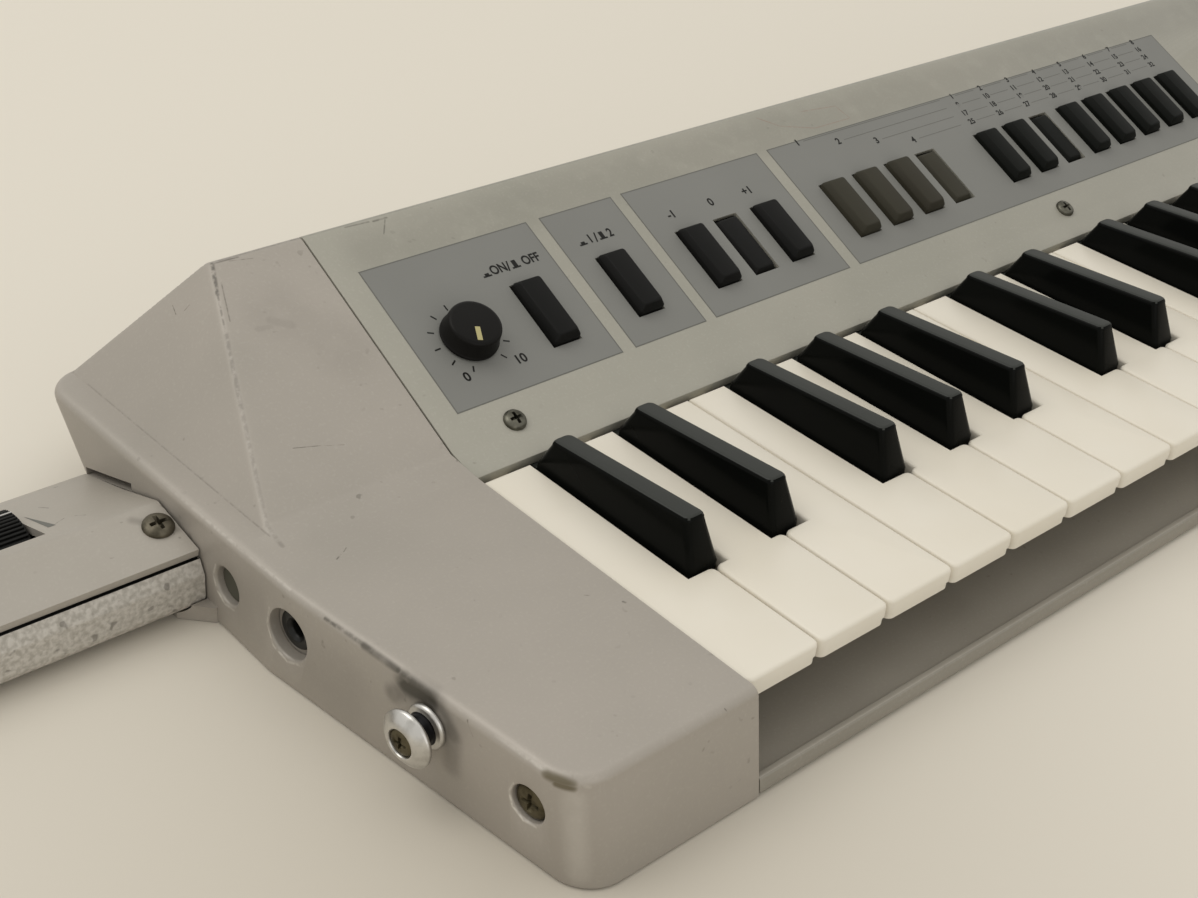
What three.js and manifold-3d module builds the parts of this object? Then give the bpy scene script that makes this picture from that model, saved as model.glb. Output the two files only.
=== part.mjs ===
// Keytar: a slim shoulder keyboard with a silver case, small piano keys, a sloping control panel
// and a left-hand neck. It lies on its back, keys up, with +X towards the high notes and +Z up.
import * as THREE from 'three';
import { mergeVertices } from 'three/addons/utils/BufferGeometryUtils.js';
import { ConvexGeometry } from 'three/addons/geometries/ConvexGeometry.js';
import Module from 'manifold-3d';

const wasm = await Module();
wasm.setup();

// General clearances and walls
const seam = 0.3;
const cutOverrun = 2;
const caseWall = 2;
const capWall = 2.6;
const arcSteps = 5;

// Keyboard
const whiteKeyCount = 22;
const whitePitch = 20;
const whiteLength = 78;
const keyGap = 0.5;
const keyPlate = 3;
const keyLip = 4.8;
const keyLipDepth = 2.6;
const keyCornerRadius = 1.6;
const keyRib = 5;
const keyRibWidth = 5;
const keyTail = 44;
const keyFrontSetback = 8;
const pivotBehind = 38;
const keyTravel = 4.1;
const blackLength = 48.2;
const blackSlotLength = 48.8;
const blackSlotWidth = 10.8;
const blackWidth = 8.3;
const blackTopWidth = 5.6;
const blackOffset = 0.3;
const blackEdge = 0.8;
const blackRiseFront = 10.2;
const blackRiseRear = 6.8;
const blackFrontSetback = 3.6;
const blackRearSetback = 3;
const keyTopHeight = 23;
// Places of the black keys in an octave, as shares of the octave's width
const blackPlaceShares = [0.132, 0.3, 0.549, 0.714, 0.88];
const octaveWhites = 7;
const whitesBeforeBlack = [1, 2, 4, 5, 6];

// Case section: front foot, waist at the back, ridge of the panel
const frontReach = 80.7;
const frontLean = 4.4;
const rearFoot = 73;
const waistReach = 86.5;
const waistDrop = 2;
const ridgeReach = 66.7;
const ridgeRise = 28.6;
const ridgeRadius = 2.2;
const panelSlopeDegrees = 25.5;
const panelSheet = 1.5;
const panelFrontReach = 2.3;
const panelFrontDrop = 0.4;
const panelFrontLip = 2.1;
const panelBendReach = 10.3;
const panelBendSag = 1.3;
const lipHeight = 5.8;

// End caps
const capReach = 52.3;
const capFootSpread = 1.2;
const capFlare = 3;
const capBend = 10;
const capFootBend = 2;
const capTaper = 8.6;
const capFootTaper = 10.9;
const capTopRise = 0.8;
const capTopRadius = 2.8;
const capFrontCornerRadius = 9;
const capRearCornerRadius = 8.7;
const humpInset = 5.8;
const humpRearInset = 1.6;
const humpFlare = 2.2;
const humpFrontInset = 7.3;
const humpCornerReach = 12;
const humpFrontOverlap = 2.6;
const humpCrest = 23;
const capOpeningInset = 7;

// Control panel: places along X and up the slope, measured from the keys' back line
const buttonWidth = 7.8;
const buttonLength = 18.4;
const buttonRowUp = 36.2;
const buttonRise = 2.8;
const buttonBody = 6;
const buttonBevel = 0.9;
const buttonBevelDepth = 1.8;
const buttonTravel = 2;
const buttonPressedDrop = 2.2;
const stemLength = 2.2;
const stemWidth = 4;
const buttonPitch = 13.33;
const glideButtonX = 43.6;
const modeButtonX = 70;
const octaveFirstX = 96.5;
const octaveButtonCount = 3;
const octavePressed = 1;
const bankFirstX = 149.6;
const bankButtonCount = 4;
const bankPressed = 3;
const voiceFirstX = 215.9;
const voiceButtonCount = 8;
const voicePressed = 2;
const carrierThickness = 1.4;
const carrierWidth = 8;
const knobX = 21.5;
const knobUp = 36.5;
const knobRadius = 7;
const knobTopRadius = 6.2;
const knobRise = 5.5;
const knobSkirtGap = 0.5;
const knobEdge = 0.6;
const knobShaftRadius = 3;
const potRadius = 7.5;
const potHeight = 2.6;

// Circuit board under the panel
const boardDrop = 9;
const boardSheet = 1.6;
const boardLow = 26;
const boardHigh = 62;
const boardEndGap = 6;
const switchWidth = 6.4;
const switchLength = 12;
const postRadius = 2.4;
const postUp = 58;
const postPlaceShares = [0.02, 0.19, 0.31, 0.455, 0.745, 0.98];

// Key bed
const bedFront = 58;
const bedRear = 45;
const bedPlate = 2.4;
const bedRail = 7;
const pivotRail = 7;
const bedEndGap = 3;
const stopFeltAllowance = 0.4;

// Battery hatch in the floor
const hatchLength = 118;
const hatchWidth = 58;
const hatchPlaceShare = 0.6;
const hatchFront = 4;
const hatchLip = 3;
const hatchLipSheet = 1.2;
const hatchRadius = 4;

// Neck
const neckLength = 309.5;
const neckFront = 22.2;
const neckFrontDrop = 7.7;
const neckFold = 37.3;
const neckFoldDrop = 4.3;
const neckRear = 72.2;
const neckRearDrop = 18;
const neckShoulder = 70;
const neckShoulderDrop = 15.8;
const neckDepth = 21.5;
const neckWall = 1.8;
const gripBelly = 1.5;
const gripBellyDrop = 3;
const gripRound = 4;
const neckEndTaper = 9;
const neckSlotFront = 49;
const neckSlotRear = 69.8;
const neckSlotHeight = 1.7;
const gusset = 5.6;
const gussetHeight = 4;
const gussetOverhang = 4;
const tongueLength = 14;
const tongueFront = 30;
const tongueRear = 58;
const tongueHeight = 5;
const volumeWheelX = 86.3;
const modulationWheelX = 128;
const wheelWidth = 18;
const wheelRadius = 10.2;
const wheelBehind = 52.95;
const wheelAxisDrop = 17.96;
const wheelSectorDegrees = 126;
const wheelSteps = 16;
const wheelHubRadius = 1.4;
const wheelHubLength = 3;
const wheelWindowFront = 41.4;
const wheelWindowRear = 65.5;
const wheelWindowGap = 0.4;
const bearingRib = 2;
const bearingRibHeight = 3.8;
const ribbonNear = 168;
const ribbonFar = 338;
const ribbonWidth = 12;
const ribbonSheet = 0.8;

// Side fittings on the end caps
const jackBehind = 7.8;
const jackDrop = 10.4;
const jackRecessRadius = 6;
const jackBodyRadius = 6.8;
const jackBodyLength = 10;
const jackBoreRadius = 1.8;
const jackBoreDepth = 9;
const plugHoleAhead = 12.9;
const plugHoleDrop = 11.5;
const plugHoleRadius = 4.6;
const plugHoleDepth = 2.2;
const padMargin = 1.6;
const padDepth = 5;
const probeStep = 0.5;
const capScrewBehind = 70.5;
const capScrewDrop = 9.9;
const capScrewRadius = 4;
const capScrewDepth = 3;
const strapBehind = 46.3;
const strapDrop = 7.6;
const strapBaseRadius = 4.6;
const strapNeckRadius = 3.2;
const strapDiscRadius = 6;
const strapFaceRadius = 4;
const strapBase = 1.4;
const strapStand = 4.2;
const strapDisc = 1.2;
const strapCrown = 2.4;
const strapShankRadius = 1.8;
const strapShank = 7;
const roundSides = 24;

// Colours and finishes
const silver = { color: 0xa09b91, roughness: 0.45, metalness: 0.35 };
const silverSheet = { color: 0x9c988c, roughness: 0.4, metalness: 0.5 };
const spatter = { color: 0xa8a198, roughness: 0.75, metalness: 0.2 };
const ivory = { color: 0xdcd4c3, roughness: 0.35, metalness: 0 };
const gloss = { color: 0x1c1d1b, roughness: 0.25, metalness: 0 };
const charcoal = { color: 0x2b2c29, roughness: 0.5, metalness: 0 };
const olive = { color: 0x3e3c30, roughness: 0.5, metalness: 0 };
const chromium = { color: 0xc9c9c6, roughness: 0.15, metalness: 1 };
const darkMetal = { color: 0x55544c, roughness: 0.5, metalness: 0.6 };
const laminate = { color: 0x4a5a34, roughness: 0.6, metalness: 0 };
const rubber = { color: 0x161616, roughness: 0.8, metalness: 0 };

// Places worked out from the sizes above
const keyboardLength = whiteKeyCount * whitePitch;
const whiteBack = keyTopHeight - keyPlate - keyRib;
const panelSlope = THREE.MathUtils.degToRad(panelSlopeDegrees);
const ridgeHeight = keyTopHeight + ridgeRise;
const panelFoot = ridgeHeight - Math.tan(panelSlope) * ridgeReach;
const waistHeight = keyTopHeight - waistDrop;
const capTop = keyTopHeight + capTopRise;
const capFootReach = capReach + capFootSpread;
const pivotHeight = whiteBack - seam;
const undercut = (waistReach - rearFoot) / waistHeight;
const rearFall = (ridgeHeight - waistHeight) / (waistReach - ridgeReach);
const neckSlope = (neckShoulderDrop - neckFoldDrop) / (neckShoulder - neckFold);
const keyReach = whiteLength + pivotBehind;
const panelNormal = new THREE.Vector3(0, -Math.sin(panelSlope), Math.cos(panelSlope));
const neckRoot = capFootReach + seam;

const model = new THREE.Group();

// Turns a closed geometry into a solid that can be cut and joined
function solid(geometry) {
  const bare = geometry.clone();
  bare.deleteAttribute('normal');
  bare.deleteAttribute('uv');
  const merged = mergeVertices(bare);
  const triVerts = Uint32Array.from(merged.index.array);
  const vertProperties = Float32Array.from(merged.attributes.position.array);
  return new wasm.Manifold(new wasm.Mesh({ numProp: 3, vertProperties, triVerts }));
}

// Brings a solid back as a plain geometry
function skin(body) {
  const mesh = body.getMesh();
  const geometry = new THREE.BufferGeometry();
  geometry.setAttribute('position', new THREE.Float32BufferAttribute(mesh.vertProperties, 3));
  geometry.setIndex(new THREE.Uint32BufferAttribute(mesh.triVerts, 1));
  return geometry;
}

// Adds a finished piece to the model under its own name
function piece(name, body, finish) {
  const flat = skin(body).toNonIndexed();
  flat.computeVertexNormals();
  const item = new THREE.Mesh(flat, new THREE.MeshStandardMaterial(finish));
  item.name = name;
  model.add(item);
  return item;
}

function joined(parts) {
  return parts.reduce((whole, part) => whole.add(part));
}

function cutBy(body, tools) {
  return tools.reduce((left, tool) => left.subtract(tool), body);
}

function moved(geometry, matrix) {
  return solid(geometry.applyMatrix4(matrix));
}

function box(low, high) {
  const size = new THREE.Vector3().subVectors(high, low);
  const middle = new THREE.Vector3().addVectors(low, high).multiplyScalar(0.5);
  const geometry = new THREE.BoxGeometry(size.x, size.y, size.z);
  return solid(geometry.translate(middle.x, middle.y, middle.z));
}

function point(x, y, z) {
  return new THREE.Vector3(x, y, z);
}

function spot(x, y) {
  return new THREE.Vector2(x, y);
}

function hull(points) {
  return solid(new ConvexGeometry(points));
}

// A plan outline pushed straight up
function upright(outline, low, high) {
  const geometry = new THREE.ExtrudeGeometry(new THREE.Shape(outline), {
    depth: high - low,
    bevelEnabled: false,
  });
  return solid(geometry.translate(0, 0, low));
}

// A section in Y and Z pushed along X
function alongX(section, from, to) {
  const geometry = new THREE.ExtrudeGeometry(new THREE.Shape(section), {
    depth: to - from,
    bevelEnabled: false,
  });
  const turn = new THREE.Matrix4().makeBasis(point(0, 1, 0), point(0, 0, 1), point(1, 0, 0));
  turn.setPosition(from, 0, 0);
  return moved(geometry, turn);
}

function turned(profile, place, direction) {
  return moved(new THREE.LatheGeometry(profile, roundSides), latheFrame(place, direction));
}

// LatheGeometry turns about Y, so Y is brought onto the direction first
function latheFrame(place, direction) {
  const turn = new THREE.Quaternion().setFromUnitVectors(point(0, 1, 0), direction.clone().normalize());
  return new THREE.Matrix4().compose(place, turn, point(1, 1, 1));
}

function rod(radius, place, direction, length) {
  const profile = [spot(0, 0), spot(radius, 0), spot(radius, length), spot(0, length)];
  return turned(profile, place, direction);
}

// Rounds the corners of a polygon: each vertex has its own radius
function rounded(vertices, radii, steps) {
  const outline = [];
  vertices.forEach((vertex, index) => {
    const radius = radii[index];
    if (radius <= 0) {
      outline.push(vertex.clone());
      return;
    }
    const before = vertices[(index + vertices.length - 1) % vertices.length];
    const after = vertices[(index + 1) % vertices.length];
    const inward = before.clone().sub(vertex).normalize();
    const outward = after.clone().sub(vertex).normalize();
    const half = Math.acos(THREE.MathUtils.clamp(inward.dot(outward), -1, 1)) / 2;
    const start = vertex.clone().addScaledVector(inward, radius / Math.tan(half));
    const middle = inward.clone().add(outward).normalize();
    const centre = vertex.clone().addScaledVector(middle, radius / Math.sin(half));
    const sweep = Math.PI - 2 * half;
    const spin = Math.sign(inward.cross(outward)) || 1;
    for (let step = 0; step <= steps; step += 1) {
      const arm = start.clone().sub(centre);
      outline.push(arm.rotateAround(spot(0, 0), -spin * sweep * (step / steps)).add(centre));
    }
  });
  return outline;
}

// A sheet folded along an open line: its second face lies a thickness to the line's left
function folded(line, thickness) {
  const inner = line.map((vertex, index) => {
    const before = line[Math.max(index - 1, 0)];
    const after = line[Math.min(index + 1, line.length - 1)];
    const first = vertex.clone().sub(before);
    const last = after.clone().sub(vertex);
    const entry = (first.length() > 0 ? first : last).clone().normalize();
    const exit = (last.length() > 0 ? last : first).clone().normalize();
    const side = spot(-entry.y - exit.y, entry.x + exit.x).normalize();
    const spread = side.dot(spot(-entry.y, entry.x));
    return vertex.clone().addScaledVector(side, thickness / spread);
  });
  return [...line, ...inner.reverse()];
}

// A skin through rings of equally many points, closed flat at both ends
function loft(rings) {
  const count = rings[0].length;
  const positions = rings.flat().flatMap((vertex) => [vertex.x, vertex.y, vertex.z]);
  const faces = [];
  for (let level = 0; level < rings.length - 1; level += 1) {
    for (let index = 0; index < count; index += 1) {
      const next = (index + 1) % count;
      const low = level * count;
      const high = low + count;
      faces.push(low + index, low + next, high + next, low + index, high + next, high + index);
    }
  }
  const flat = rings[0].map((vertex) => spot(vertex.x, vertex.y));
  const lid = THREE.ShapeUtils.triangulateShape(flat, []);
  const top = (rings.length - 1) * count;
  lid.forEach(([a, b, c]) => {
    faces.push(c, b, a);
    faces.push(top + a, top + b, top + c);
  });
  const geometry = new THREE.BufferGeometry();
  geometry.setAttribute('position', new THREE.Float32BufferAttribute(positions, 3));
  geometry.setIndex(faces);
  return solid(geometry);
}

// A place on the control panel: along X, up the slope from the keys' back line, and out of it
function onPanel(x, up, out) {
  const y = up * Math.cos(panelSlope) - out * Math.sin(panelSlope);
  const z = panelFoot + up * Math.sin(panelSlope) + out * Math.cos(panelSlope);
  return point(x, y, z);
}

// A block lying in the panel's slope
function panelBlock(lowX, highX, lowUp, highUp, lowOut, highOut) {
  const corners = [];
  [lowX, highX].forEach((x) => {
    [lowUp, highUp].forEach((up) => {
      [lowOut, highOut].forEach((out) => corners.push(onPanel(x, up, out)));
    });
  });
  return hull(corners);
}

// The outside of the panel sheet from its front edge over the ridge to the waist
function panelLine() {
  const back = spot(waistReach + panelSheet, waistHeight - rearFall * panelSheet);
  const slope = spot(Math.cos(panelSlope), Math.sin(panelSlope));
  const bend = spot(panelBendReach, panelFoot + Math.tan(panelSlope) * panelBendReach);
  const sag = (panelBendReach + panelFrontReach) / 2;
  const front = spot(panelFrontReach, keyTopHeight - panelFrontDrop);
  const middle = spot(sag, (front.y + bend.y) / 2 - panelSheet / 2 + panelBendSag / 2);
  const ridge = spot(ridgeReach, ridgeHeight).addScaledVector(slope, ridgeRadius / 2);
  const arc = rounded([bend, ridge, back], [0, ridgeRadius, 0], arcSteps);
  const lip = spot(panelFrontReach, front.y - panelFrontLip);
  return [lip, front, middle, ...arc];
}

function makePanel() {
  const line = panelLine();
  const section = folded(line, -panelSheet);
  const sheet = alongX(section.reverse(), seam / 2, keyboardLength - seam / 2);
  const tools = buttonPlaces().map((x) => {
    const half = buttonWidth / 2 + seam;
    const reach = buttonLength / 2 + seam;
    const low = buttonRowUp - reach;
    return panelBlock(x - half, x + half, low, buttonRowUp + reach, -panelSheet * 2, panelSheet);
  });
  const shaftHole = knobShaftRadius + seam;
  tools.push(rod(shaftHole, onPanel(knobX, knobUp, -panelSheet * 2), panelNormal, panelSheet * 3));
  const below = rearFall * panelSheet + panelSheet + cutOverrun;
  tools.push(waistBlock(waistHeight - below, waistHeight + seam));
  piece('top_panel', cutBy(sheet, tools), silverSheet);
}

// A block behind the ridge that trims a sheet level at the waist
function waistBlock(low, high) {
  const reach = waistReach + cutOverrun * 2;
  return box(point(-cutOverrun, ridgeReach, low), point(keyboardLength + cutOverrun, reach, high));
}

function rowPlaces(first, count) {
  return Array.from({ length: count }, (_, index) => first + index * buttonPitch);
}

function buttonPlaces() {
  return [
    glideButtonX,
    modeButtonX,
    ...rowPlaces(octaveFirstX, octaveButtonCount),
    ...rowPlaces(bankFirstX, bankButtonCount),
    ...rowPlaces(voiceFirstX, voiceButtonCount),
  ];
}

// One push button cap with its bevelled top and the stem that works its switch
function buttonCap(x, pressed) {
  const top = pressed ? buttonRise - buttonPressedDrop : buttonRise;
  const half = buttonWidth / 2;
  const reach = buttonLength / 2;
  const corners = [];
  [[top - buttonBody, 0], [top - buttonBevelDepth, 0], [top, buttonBevel]].forEach(([out, inset]) => {
    [-1, 1].forEach((sideX) => {
      [-1, 1].forEach((sideUp) => {
        const up = buttonRowUp + sideUp * (reach - inset);
        corners.push(onPanel(x + sideX * (half - inset), up, out));
      });
    });
  });
  const cap = hull(corners);
  if (pressed) {
    return cap;
  }
  const stem = stemWidth / 2;
  const low = buttonRowUp - stem;
  const high = buttonRowUp + stem;
  const bottom = top - buttonBody;
  return cap.add(panelBlock(x - stem, x + stem, low, high, bottom - stemLength, bottom + seam));
}

// A row of caps on one carrier strip under the panel
function buttonRow(name, first, count, pressed, finish) {
  const places = rowPlaces(first, count);
  const caps = places.map((x, index) => buttonCap(x, index === pressed));
  const bottom = buttonRise - buttonPressedDrop - buttonBody;
  const low = buttonRowUp - carrierWidth / 2;
  const high = buttonRowUp + carrierWidth / 2;
  const far = places[places.length - 1];
  const strip = panelBlock(first, far, low, high, bottom, bottom + carrierThickness);
  const links = places.map((x) => {
    const half = stemWidth / 2;
    return panelBlock(x - half, x + half, low, high, bottom, buttonRise - buttonBody + seam);
  });
  piece(name, joined([strip, ...links, ...caps]), finish);
}

function makeButtons() {
  piece('glide_switch_button', buttonCap(glideButtonX, false), charcoal);
  piece('mode_switch_button', buttonCap(modeButtonX, false), charcoal);
  const names = ['octave_down_button', 'octave_normal_button', 'octave_up_button'];
  rowPlaces(octaveFirstX, octaveButtonCount).forEach((x, index) => {
    piece(names[index], buttonCap(x, index === octavePressed), charcoal);
  });
  buttonRow('bank_buttons', bankFirstX, bankButtonCount, bankPressed, olive);
  buttonRow('voice_buttons', voiceFirstX, voiceButtonCount, voicePressed, charcoal);
}

function makeKnob() {
  const shaftEnd = -boardDrop + potHeight + seam;
  const profile = [
    spot(0, shaftEnd),
    spot(knobShaftRadius, shaftEnd),
    spot(knobShaftRadius, knobSkirtGap),
    spot(knobRadius, knobSkirtGap),
    spot(knobRadius, knobSkirtGap + knobEdge),
    spot(knobTopRadius, knobRise - knobEdge),
    spot(knobTopRadius - knobEdge, knobRise),
    spot(0, knobRise),
  ];
  piece('glide_time_knob', turned(profile, onPanel(knobX, knobUp, 0), panelNormal), gloss);
}

function makeBoard() {
  const end = keyboardLength - boardEndGap;
  const parts = [panelBlock(boardEndGap, end, boardLow, boardHigh, -boardDrop - boardSheet, -boardDrop)];
  const switchTop = buttonRise - buttonPressedDrop - buttonBody - buttonTravel - seam;
  buttonPlaces().forEach((x) => {
    const half = switchWidth / 2;
    const reach = switchLength / 2;
    const low = buttonRowUp - reach;
    parts.push(panelBlock(x - half, x + half, low, buttonRowUp + reach, -boardDrop - seam, switchTop));
  });
  const sunk = -boardDrop - boardSheet / 2;
  parts.push(rod(potRadius, onPanel(knobX, knobUp, sunk), panelNormal, potHeight + boardSheet / 2));
  postPlaceShares.forEach((share) => {
    const place = onPanel(keyboardLength * share, postUp, sunk);
    parts.push(rod(postRadius, place, panelNormal, -sunk - panelSheet - seam));
  });
  piece('circuit_board', joined(parts), laminate);
}

// The floor, front lip and undercut back wall are one folded sheet with a battery hatch in the floor
function makeCase() {
  const lean = (frontLean * (capTop - lipHeight)) / capTop;
  const line = [
    spot(-frontReach - lean, lipHeight),
    spot(-frontReach - frontLean, 0),
    spot(rearFoot, 0),
    spot(waistReach + undercut * caseWall, waistHeight + caseWall),
  ];
  const sheet = alongX(folded(line, caseWall), seam / 2, keyboardLength - seam / 2);
  const middle = keyboardLength * hatchPlaceShare;
  const half = hatchLength / 2;
  const inset = hatchLip + seam;
  const through = box(
    point(middle - half + inset, hatchFront + inset, -cutOverrun),
    point(middle + half - inset, hatchFront + hatchWidth - inset, caseWall + cutOverrun),
  );
  const step = upright(hatchOutline(seam), -cutOverrun, hatchLipSheet);
  const level = waistBlock(waistHeight, waistHeight + caseWall + cutOverrun);
  piece('bottom_case', cutBy(sheet, [through, step, level]), silver);
  const plate = upright(hatchOutline(0), 0, hatchLipSheet - seam);
  piece('battery_cover', plate, silver);
}

function hatchOutline(grow) {
  const middle = keyboardLength * hatchPlaceShare;
  const half = hatchLength / 2 + grow;
  const low = hatchFront - grow;
  const high = hatchFront + hatchWidth + grow;
  const corners = [
    spot(middle - half, low),
    spot(middle + half, low),
    spot(middle + half, high),
    spot(middle - half, high),
  ];
  return rounded(corners, corners.map(() => hatchRadius), arcSteps);
}

// The bed under the keys: a tray with a stop rail in front and the pivot rail behind
function makeKeyBed() {
  const floor = caseWall + seam;
  const frontRailReach = keyReach - (whiteLength - bedFront);
  const drop = (keyTravel * frontRailReach) / keyReach;
  const railTop = whiteBack - drop - stopFeltAllowance;
  const section = [
    spot(-bedFront, floor),
    spot(bedRear, floor),
    spot(bedRear, pivotHeight),
    spot(bedRear - pivotRail, pivotHeight),
    spot(bedRear - pivotRail, floor + bedPlate),
    spot(-bedFront + bedRail, floor + bedPlate),
    spot(-bedFront + bedRail, railTop),
    spot(-bedFront, railTop),
  ];
  piece('key_bed', alongX(section, bedEndGap, keyboardLength - bedEndGap), darkMetal);
}

// Where every black key sits, from the first key's left edge, and how many whites lie before it
function blackCentres() {
  const octave = octaveWhites * whitePitch;
  const centres = [];
  for (let start = 0; start * octaveWhites < whiteKeyCount - 1; start += 1) {
    blackPlaceShares.forEach((share, index) => {
      const boundary = start * octaveWhites + whitesBeforeBlack[index];
      centres.push({ boundary, x: (start + share) * octave });
    });
  }
  return centres;
}

function whiteOutline(index) {
  const left = index * whitePitch + keyGap / 2;
  const right = (index + 1) * whitePitch - keyGap / 2;
  const before = blackCentres().find((slot) => slot.boundary === index);
  const after = blackCentres().find((slot) => slot.boundary === index + 1);
  const half = blackSlotWidth / 2;
  const rearLeft = before ? before.x + half : left;
  const rearRight = after ? after.x - half : right;
  const vertices = [spot(left, -whiteLength), spot(right, -whiteLength)];
  const radii = [keyCornerRadius, keyCornerRadius];
  if (after) {
    vertices.push(spot(right, -blackSlotLength), spot(rearRight, -blackSlotLength));
    radii.push(keyCornerRadius, 0);
  }
  vertices.push(spot(rearRight, 0), spot(rearLeft, 0));
  radii.push(0, 0);
  if (before) {
    vertices.push(spot(rearLeft, -blackSlotLength), spot(left, -blackSlotLength));
    radii.push(0, keyCornerRadius);
  }
  return { vertices, radii, ribX: (rearLeft + rearRight) / 2 };
}

function keyRibBlock(x, front) {
  const half = keyRibWidth / 2;
  const low = point(x - half, -front, whiteBack);
  return box(low, point(x + half, keyTail, whiteBack + keyRib));
}

function makeWhiteKey(index) {
  const { vertices, radii, ribX } = whiteOutline(index);
  const outline = rounded(vertices, radii, 3);
  const plate = upright(outline, keyTopHeight - keyPlate, keyTopHeight);
  const lipTop = outline.filter((vertex) => vertex.y < -whiteLength + keyLipDepth);
  const lipBack = -whiteLength + keyLipDepth;
  const lipOutline = [
    ...lipTop,
    spot((index + 1) * whitePitch - keyGap / 2, lipBack),
    spot(index * whitePitch + keyGap / 2, lipBack),
  ].sort((a, b) => angleFrom(a, index, lipBack) - angleFrom(b, index, lipBack));
  const lip = upright(lipOutline, keyTopHeight - keyLip, keyTopHeight - keyPlate + seam);
  const rib = keyRibBlock(ribX, whiteLength - keyFrontSetback);
  const name = `white_key_${String(index + 1).padStart(2, '0')}`;
  piece(name, joined([plate, lip, rib]), ivory);
}

// Sorts the lip's corners round its middle
function angleFrom(vertex, index, lipBack) {
  const middle = spot((index + 1 / 2) * whitePitch, lipBack - keyLipDepth / 2);
  return Math.atan2(vertex.y - middle.y, vertex.x - middle.x);
}

function makeBlackKey(index, x) {
  const half = blackWidth / 2;
  const top = blackTopWidth / 2;
  const low = keyTopHeight - keyPlate;
  const frontTop = keyTopHeight + blackRiseFront;
  const rearTop = keyTopHeight + blackRiseRear;
  const topFront = -blackLength + blackFrontSetback;
  const corners = [];
  [-1, 1].forEach((side) => {
    [low, keyTopHeight].forEach((height) => {
      corners.push(point(x + side * half, -blackLength, height));
      corners.push(point(x + side * half, -seam, height));
    });
    corners.push(point(x + side * top, topFront, frontTop - blackEdge));
    corners.push(point(x + side * (top - blackEdge), topFront + blackEdge, frontTop));
    corners.push(point(x + side * top, -blackRearSetback, rearTop - blackEdge));
    corners.push(point(x + side * (top - blackEdge), -blackRearSetback - blackEdge, rearTop));
  });
  const rib = keyRibBlock(x, blackLength - keyFrontSetback);
  const name = `black_key_${String(index + 1).padStart(2, '0')}`;
  piece(name, hull(corners).add(rib), gloss);
}

function makeKeys() {
  for (let index = 0; index < whiteKeyCount; index += 1) {
    makeWhiteKey(index);
  }
  blackCentres().forEach((slot, index) => makeBlackKey(index, slot.x - blackOffset));
}

// A size that changes evenly from the cap's top to its foot
function down(top, foot, height) {
  return top + ((foot - top) * (capTop - height)) / capTop;
}

function capFront(height) {
  return -down(frontReach, frontReach + frontLean, height);
}

// A place on the cap's side: straight beside the panel, then tapering towards the front corner
function onCapSide(y, height) {
  const reach = down(capReach, capFootReach, height);
  const bend = -down(capBend, capFootBend, height);
  const taper = down(capTaper, capFootTaper, height);
  const share = Math.max(0, (bend - y) / (bend - capFront(height)));
  const flareShare = Math.max(0, (y - bend) / (waistReach - bend));
  return point(-reach + taper * share - down(capFlare, 0, height) * flareShare, y, height);
}

// The direction square to the cap's side at a place, pointing out
function sideNormal(y, height) {
  const here = onCapSide(y, height);
  const along = onCapSide(y - probeStep, height).sub(here);
  const upward = onCapSide(y, height + probeStep).sub(here);
  return along.cross(upward).normalize();
}

// Outline of an end cap at one height: the keyboard is on its right, its left side tapers forward
function capRing(height, inset, rightX) {
  const front = capFront(height) + inset;
  const rear = rearFoot + undercut * Math.min(height, waistHeight) - inset;
  const bend = -down(capBend, capFootBend, height);
  const corner = onCapSide(front - inset, height);
  const vertices = [
    spot(rightX, front),
    spot(rightX, rear),
    spot(onCapSide(rear, height).x + inset, rear),
    spot(onCapSide(bend, height).x + inset, bend),
    spot(corner.x + inset, front),
  ];
  const small = capTopRadius / 10;
  const radii = [
    0,
    0,
    Math.max(capRearCornerRadius - inset, small),
    0,
    Math.max(capFrontCornerRadius - inset, small),
  ];
  return rounded(vertices, radii, arcSteps).map((vertex) => point(vertex.x, vertex.y, height));
}

function capShape(wall, rightX) {
  const shoulder = capTop - capTopRadius;
  const rings = [capRing(wall, wall, rightX), capRing(shoulder, wall, rightX)];
  const steps = 3;
  for (let step = 1; step <= steps; step += 1) {
    const angle = ((Math.PI / 2) * step) / steps;
    const radius = capTopRadius - wall;
    const height = shoulder + radius * Math.sin(angle);
    rings.push(capRing(height, wall + radius * (1 - Math.cos(angle)), rightX));
  }
  return loft(rings);
}

// The hump carries the panel's slope and ridge out over the cap and falls away to its left
function humpShape(wall, rightX) {
  const shift = wall / Math.cos(panelSlope);
  const baseY = (capTop - panelFoot) / Math.tan(panelSlope);
  const left = -capReach + humpInset + wall;
  const rearLeft = left - humpFlare;
  const low = capTop - capTopRadius;
  const crest = capTop + ridgeRise / 2;
  const crown = panelLine().filter((vertex) => vertex.x > ridgeReach - ridgeRadius && vertex.y > crest);
  const rear = waistReach - humpRearInset - wall;
  const front = baseY + shift - humpFrontOverlap;
  const foot = capTop - humpFrontOverlap * Math.tan(panelSlope);
  const corners = [
    point(-capReach + humpFrontInset + wall, front, foot),
    point(rightX, front, foot),
    point(left, baseY + humpCornerReach, capTop),
    point(rearLeft, rear, waistHeight),
    point(rightX, rear, waistHeight),
    point(left, baseY + humpCornerReach, low),
    point(rearLeft, rear, low),
    point(rightX, rear, low),
  ];
  crown.forEach((vertex) => {
    corners.push(point(-humpCrest + wall / 2, vertex.x, vertex.y - shift));
    corners.push(point(rightX, vertex.x, vertex.y - shift));
  });
  return hull(corners);
}

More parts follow.
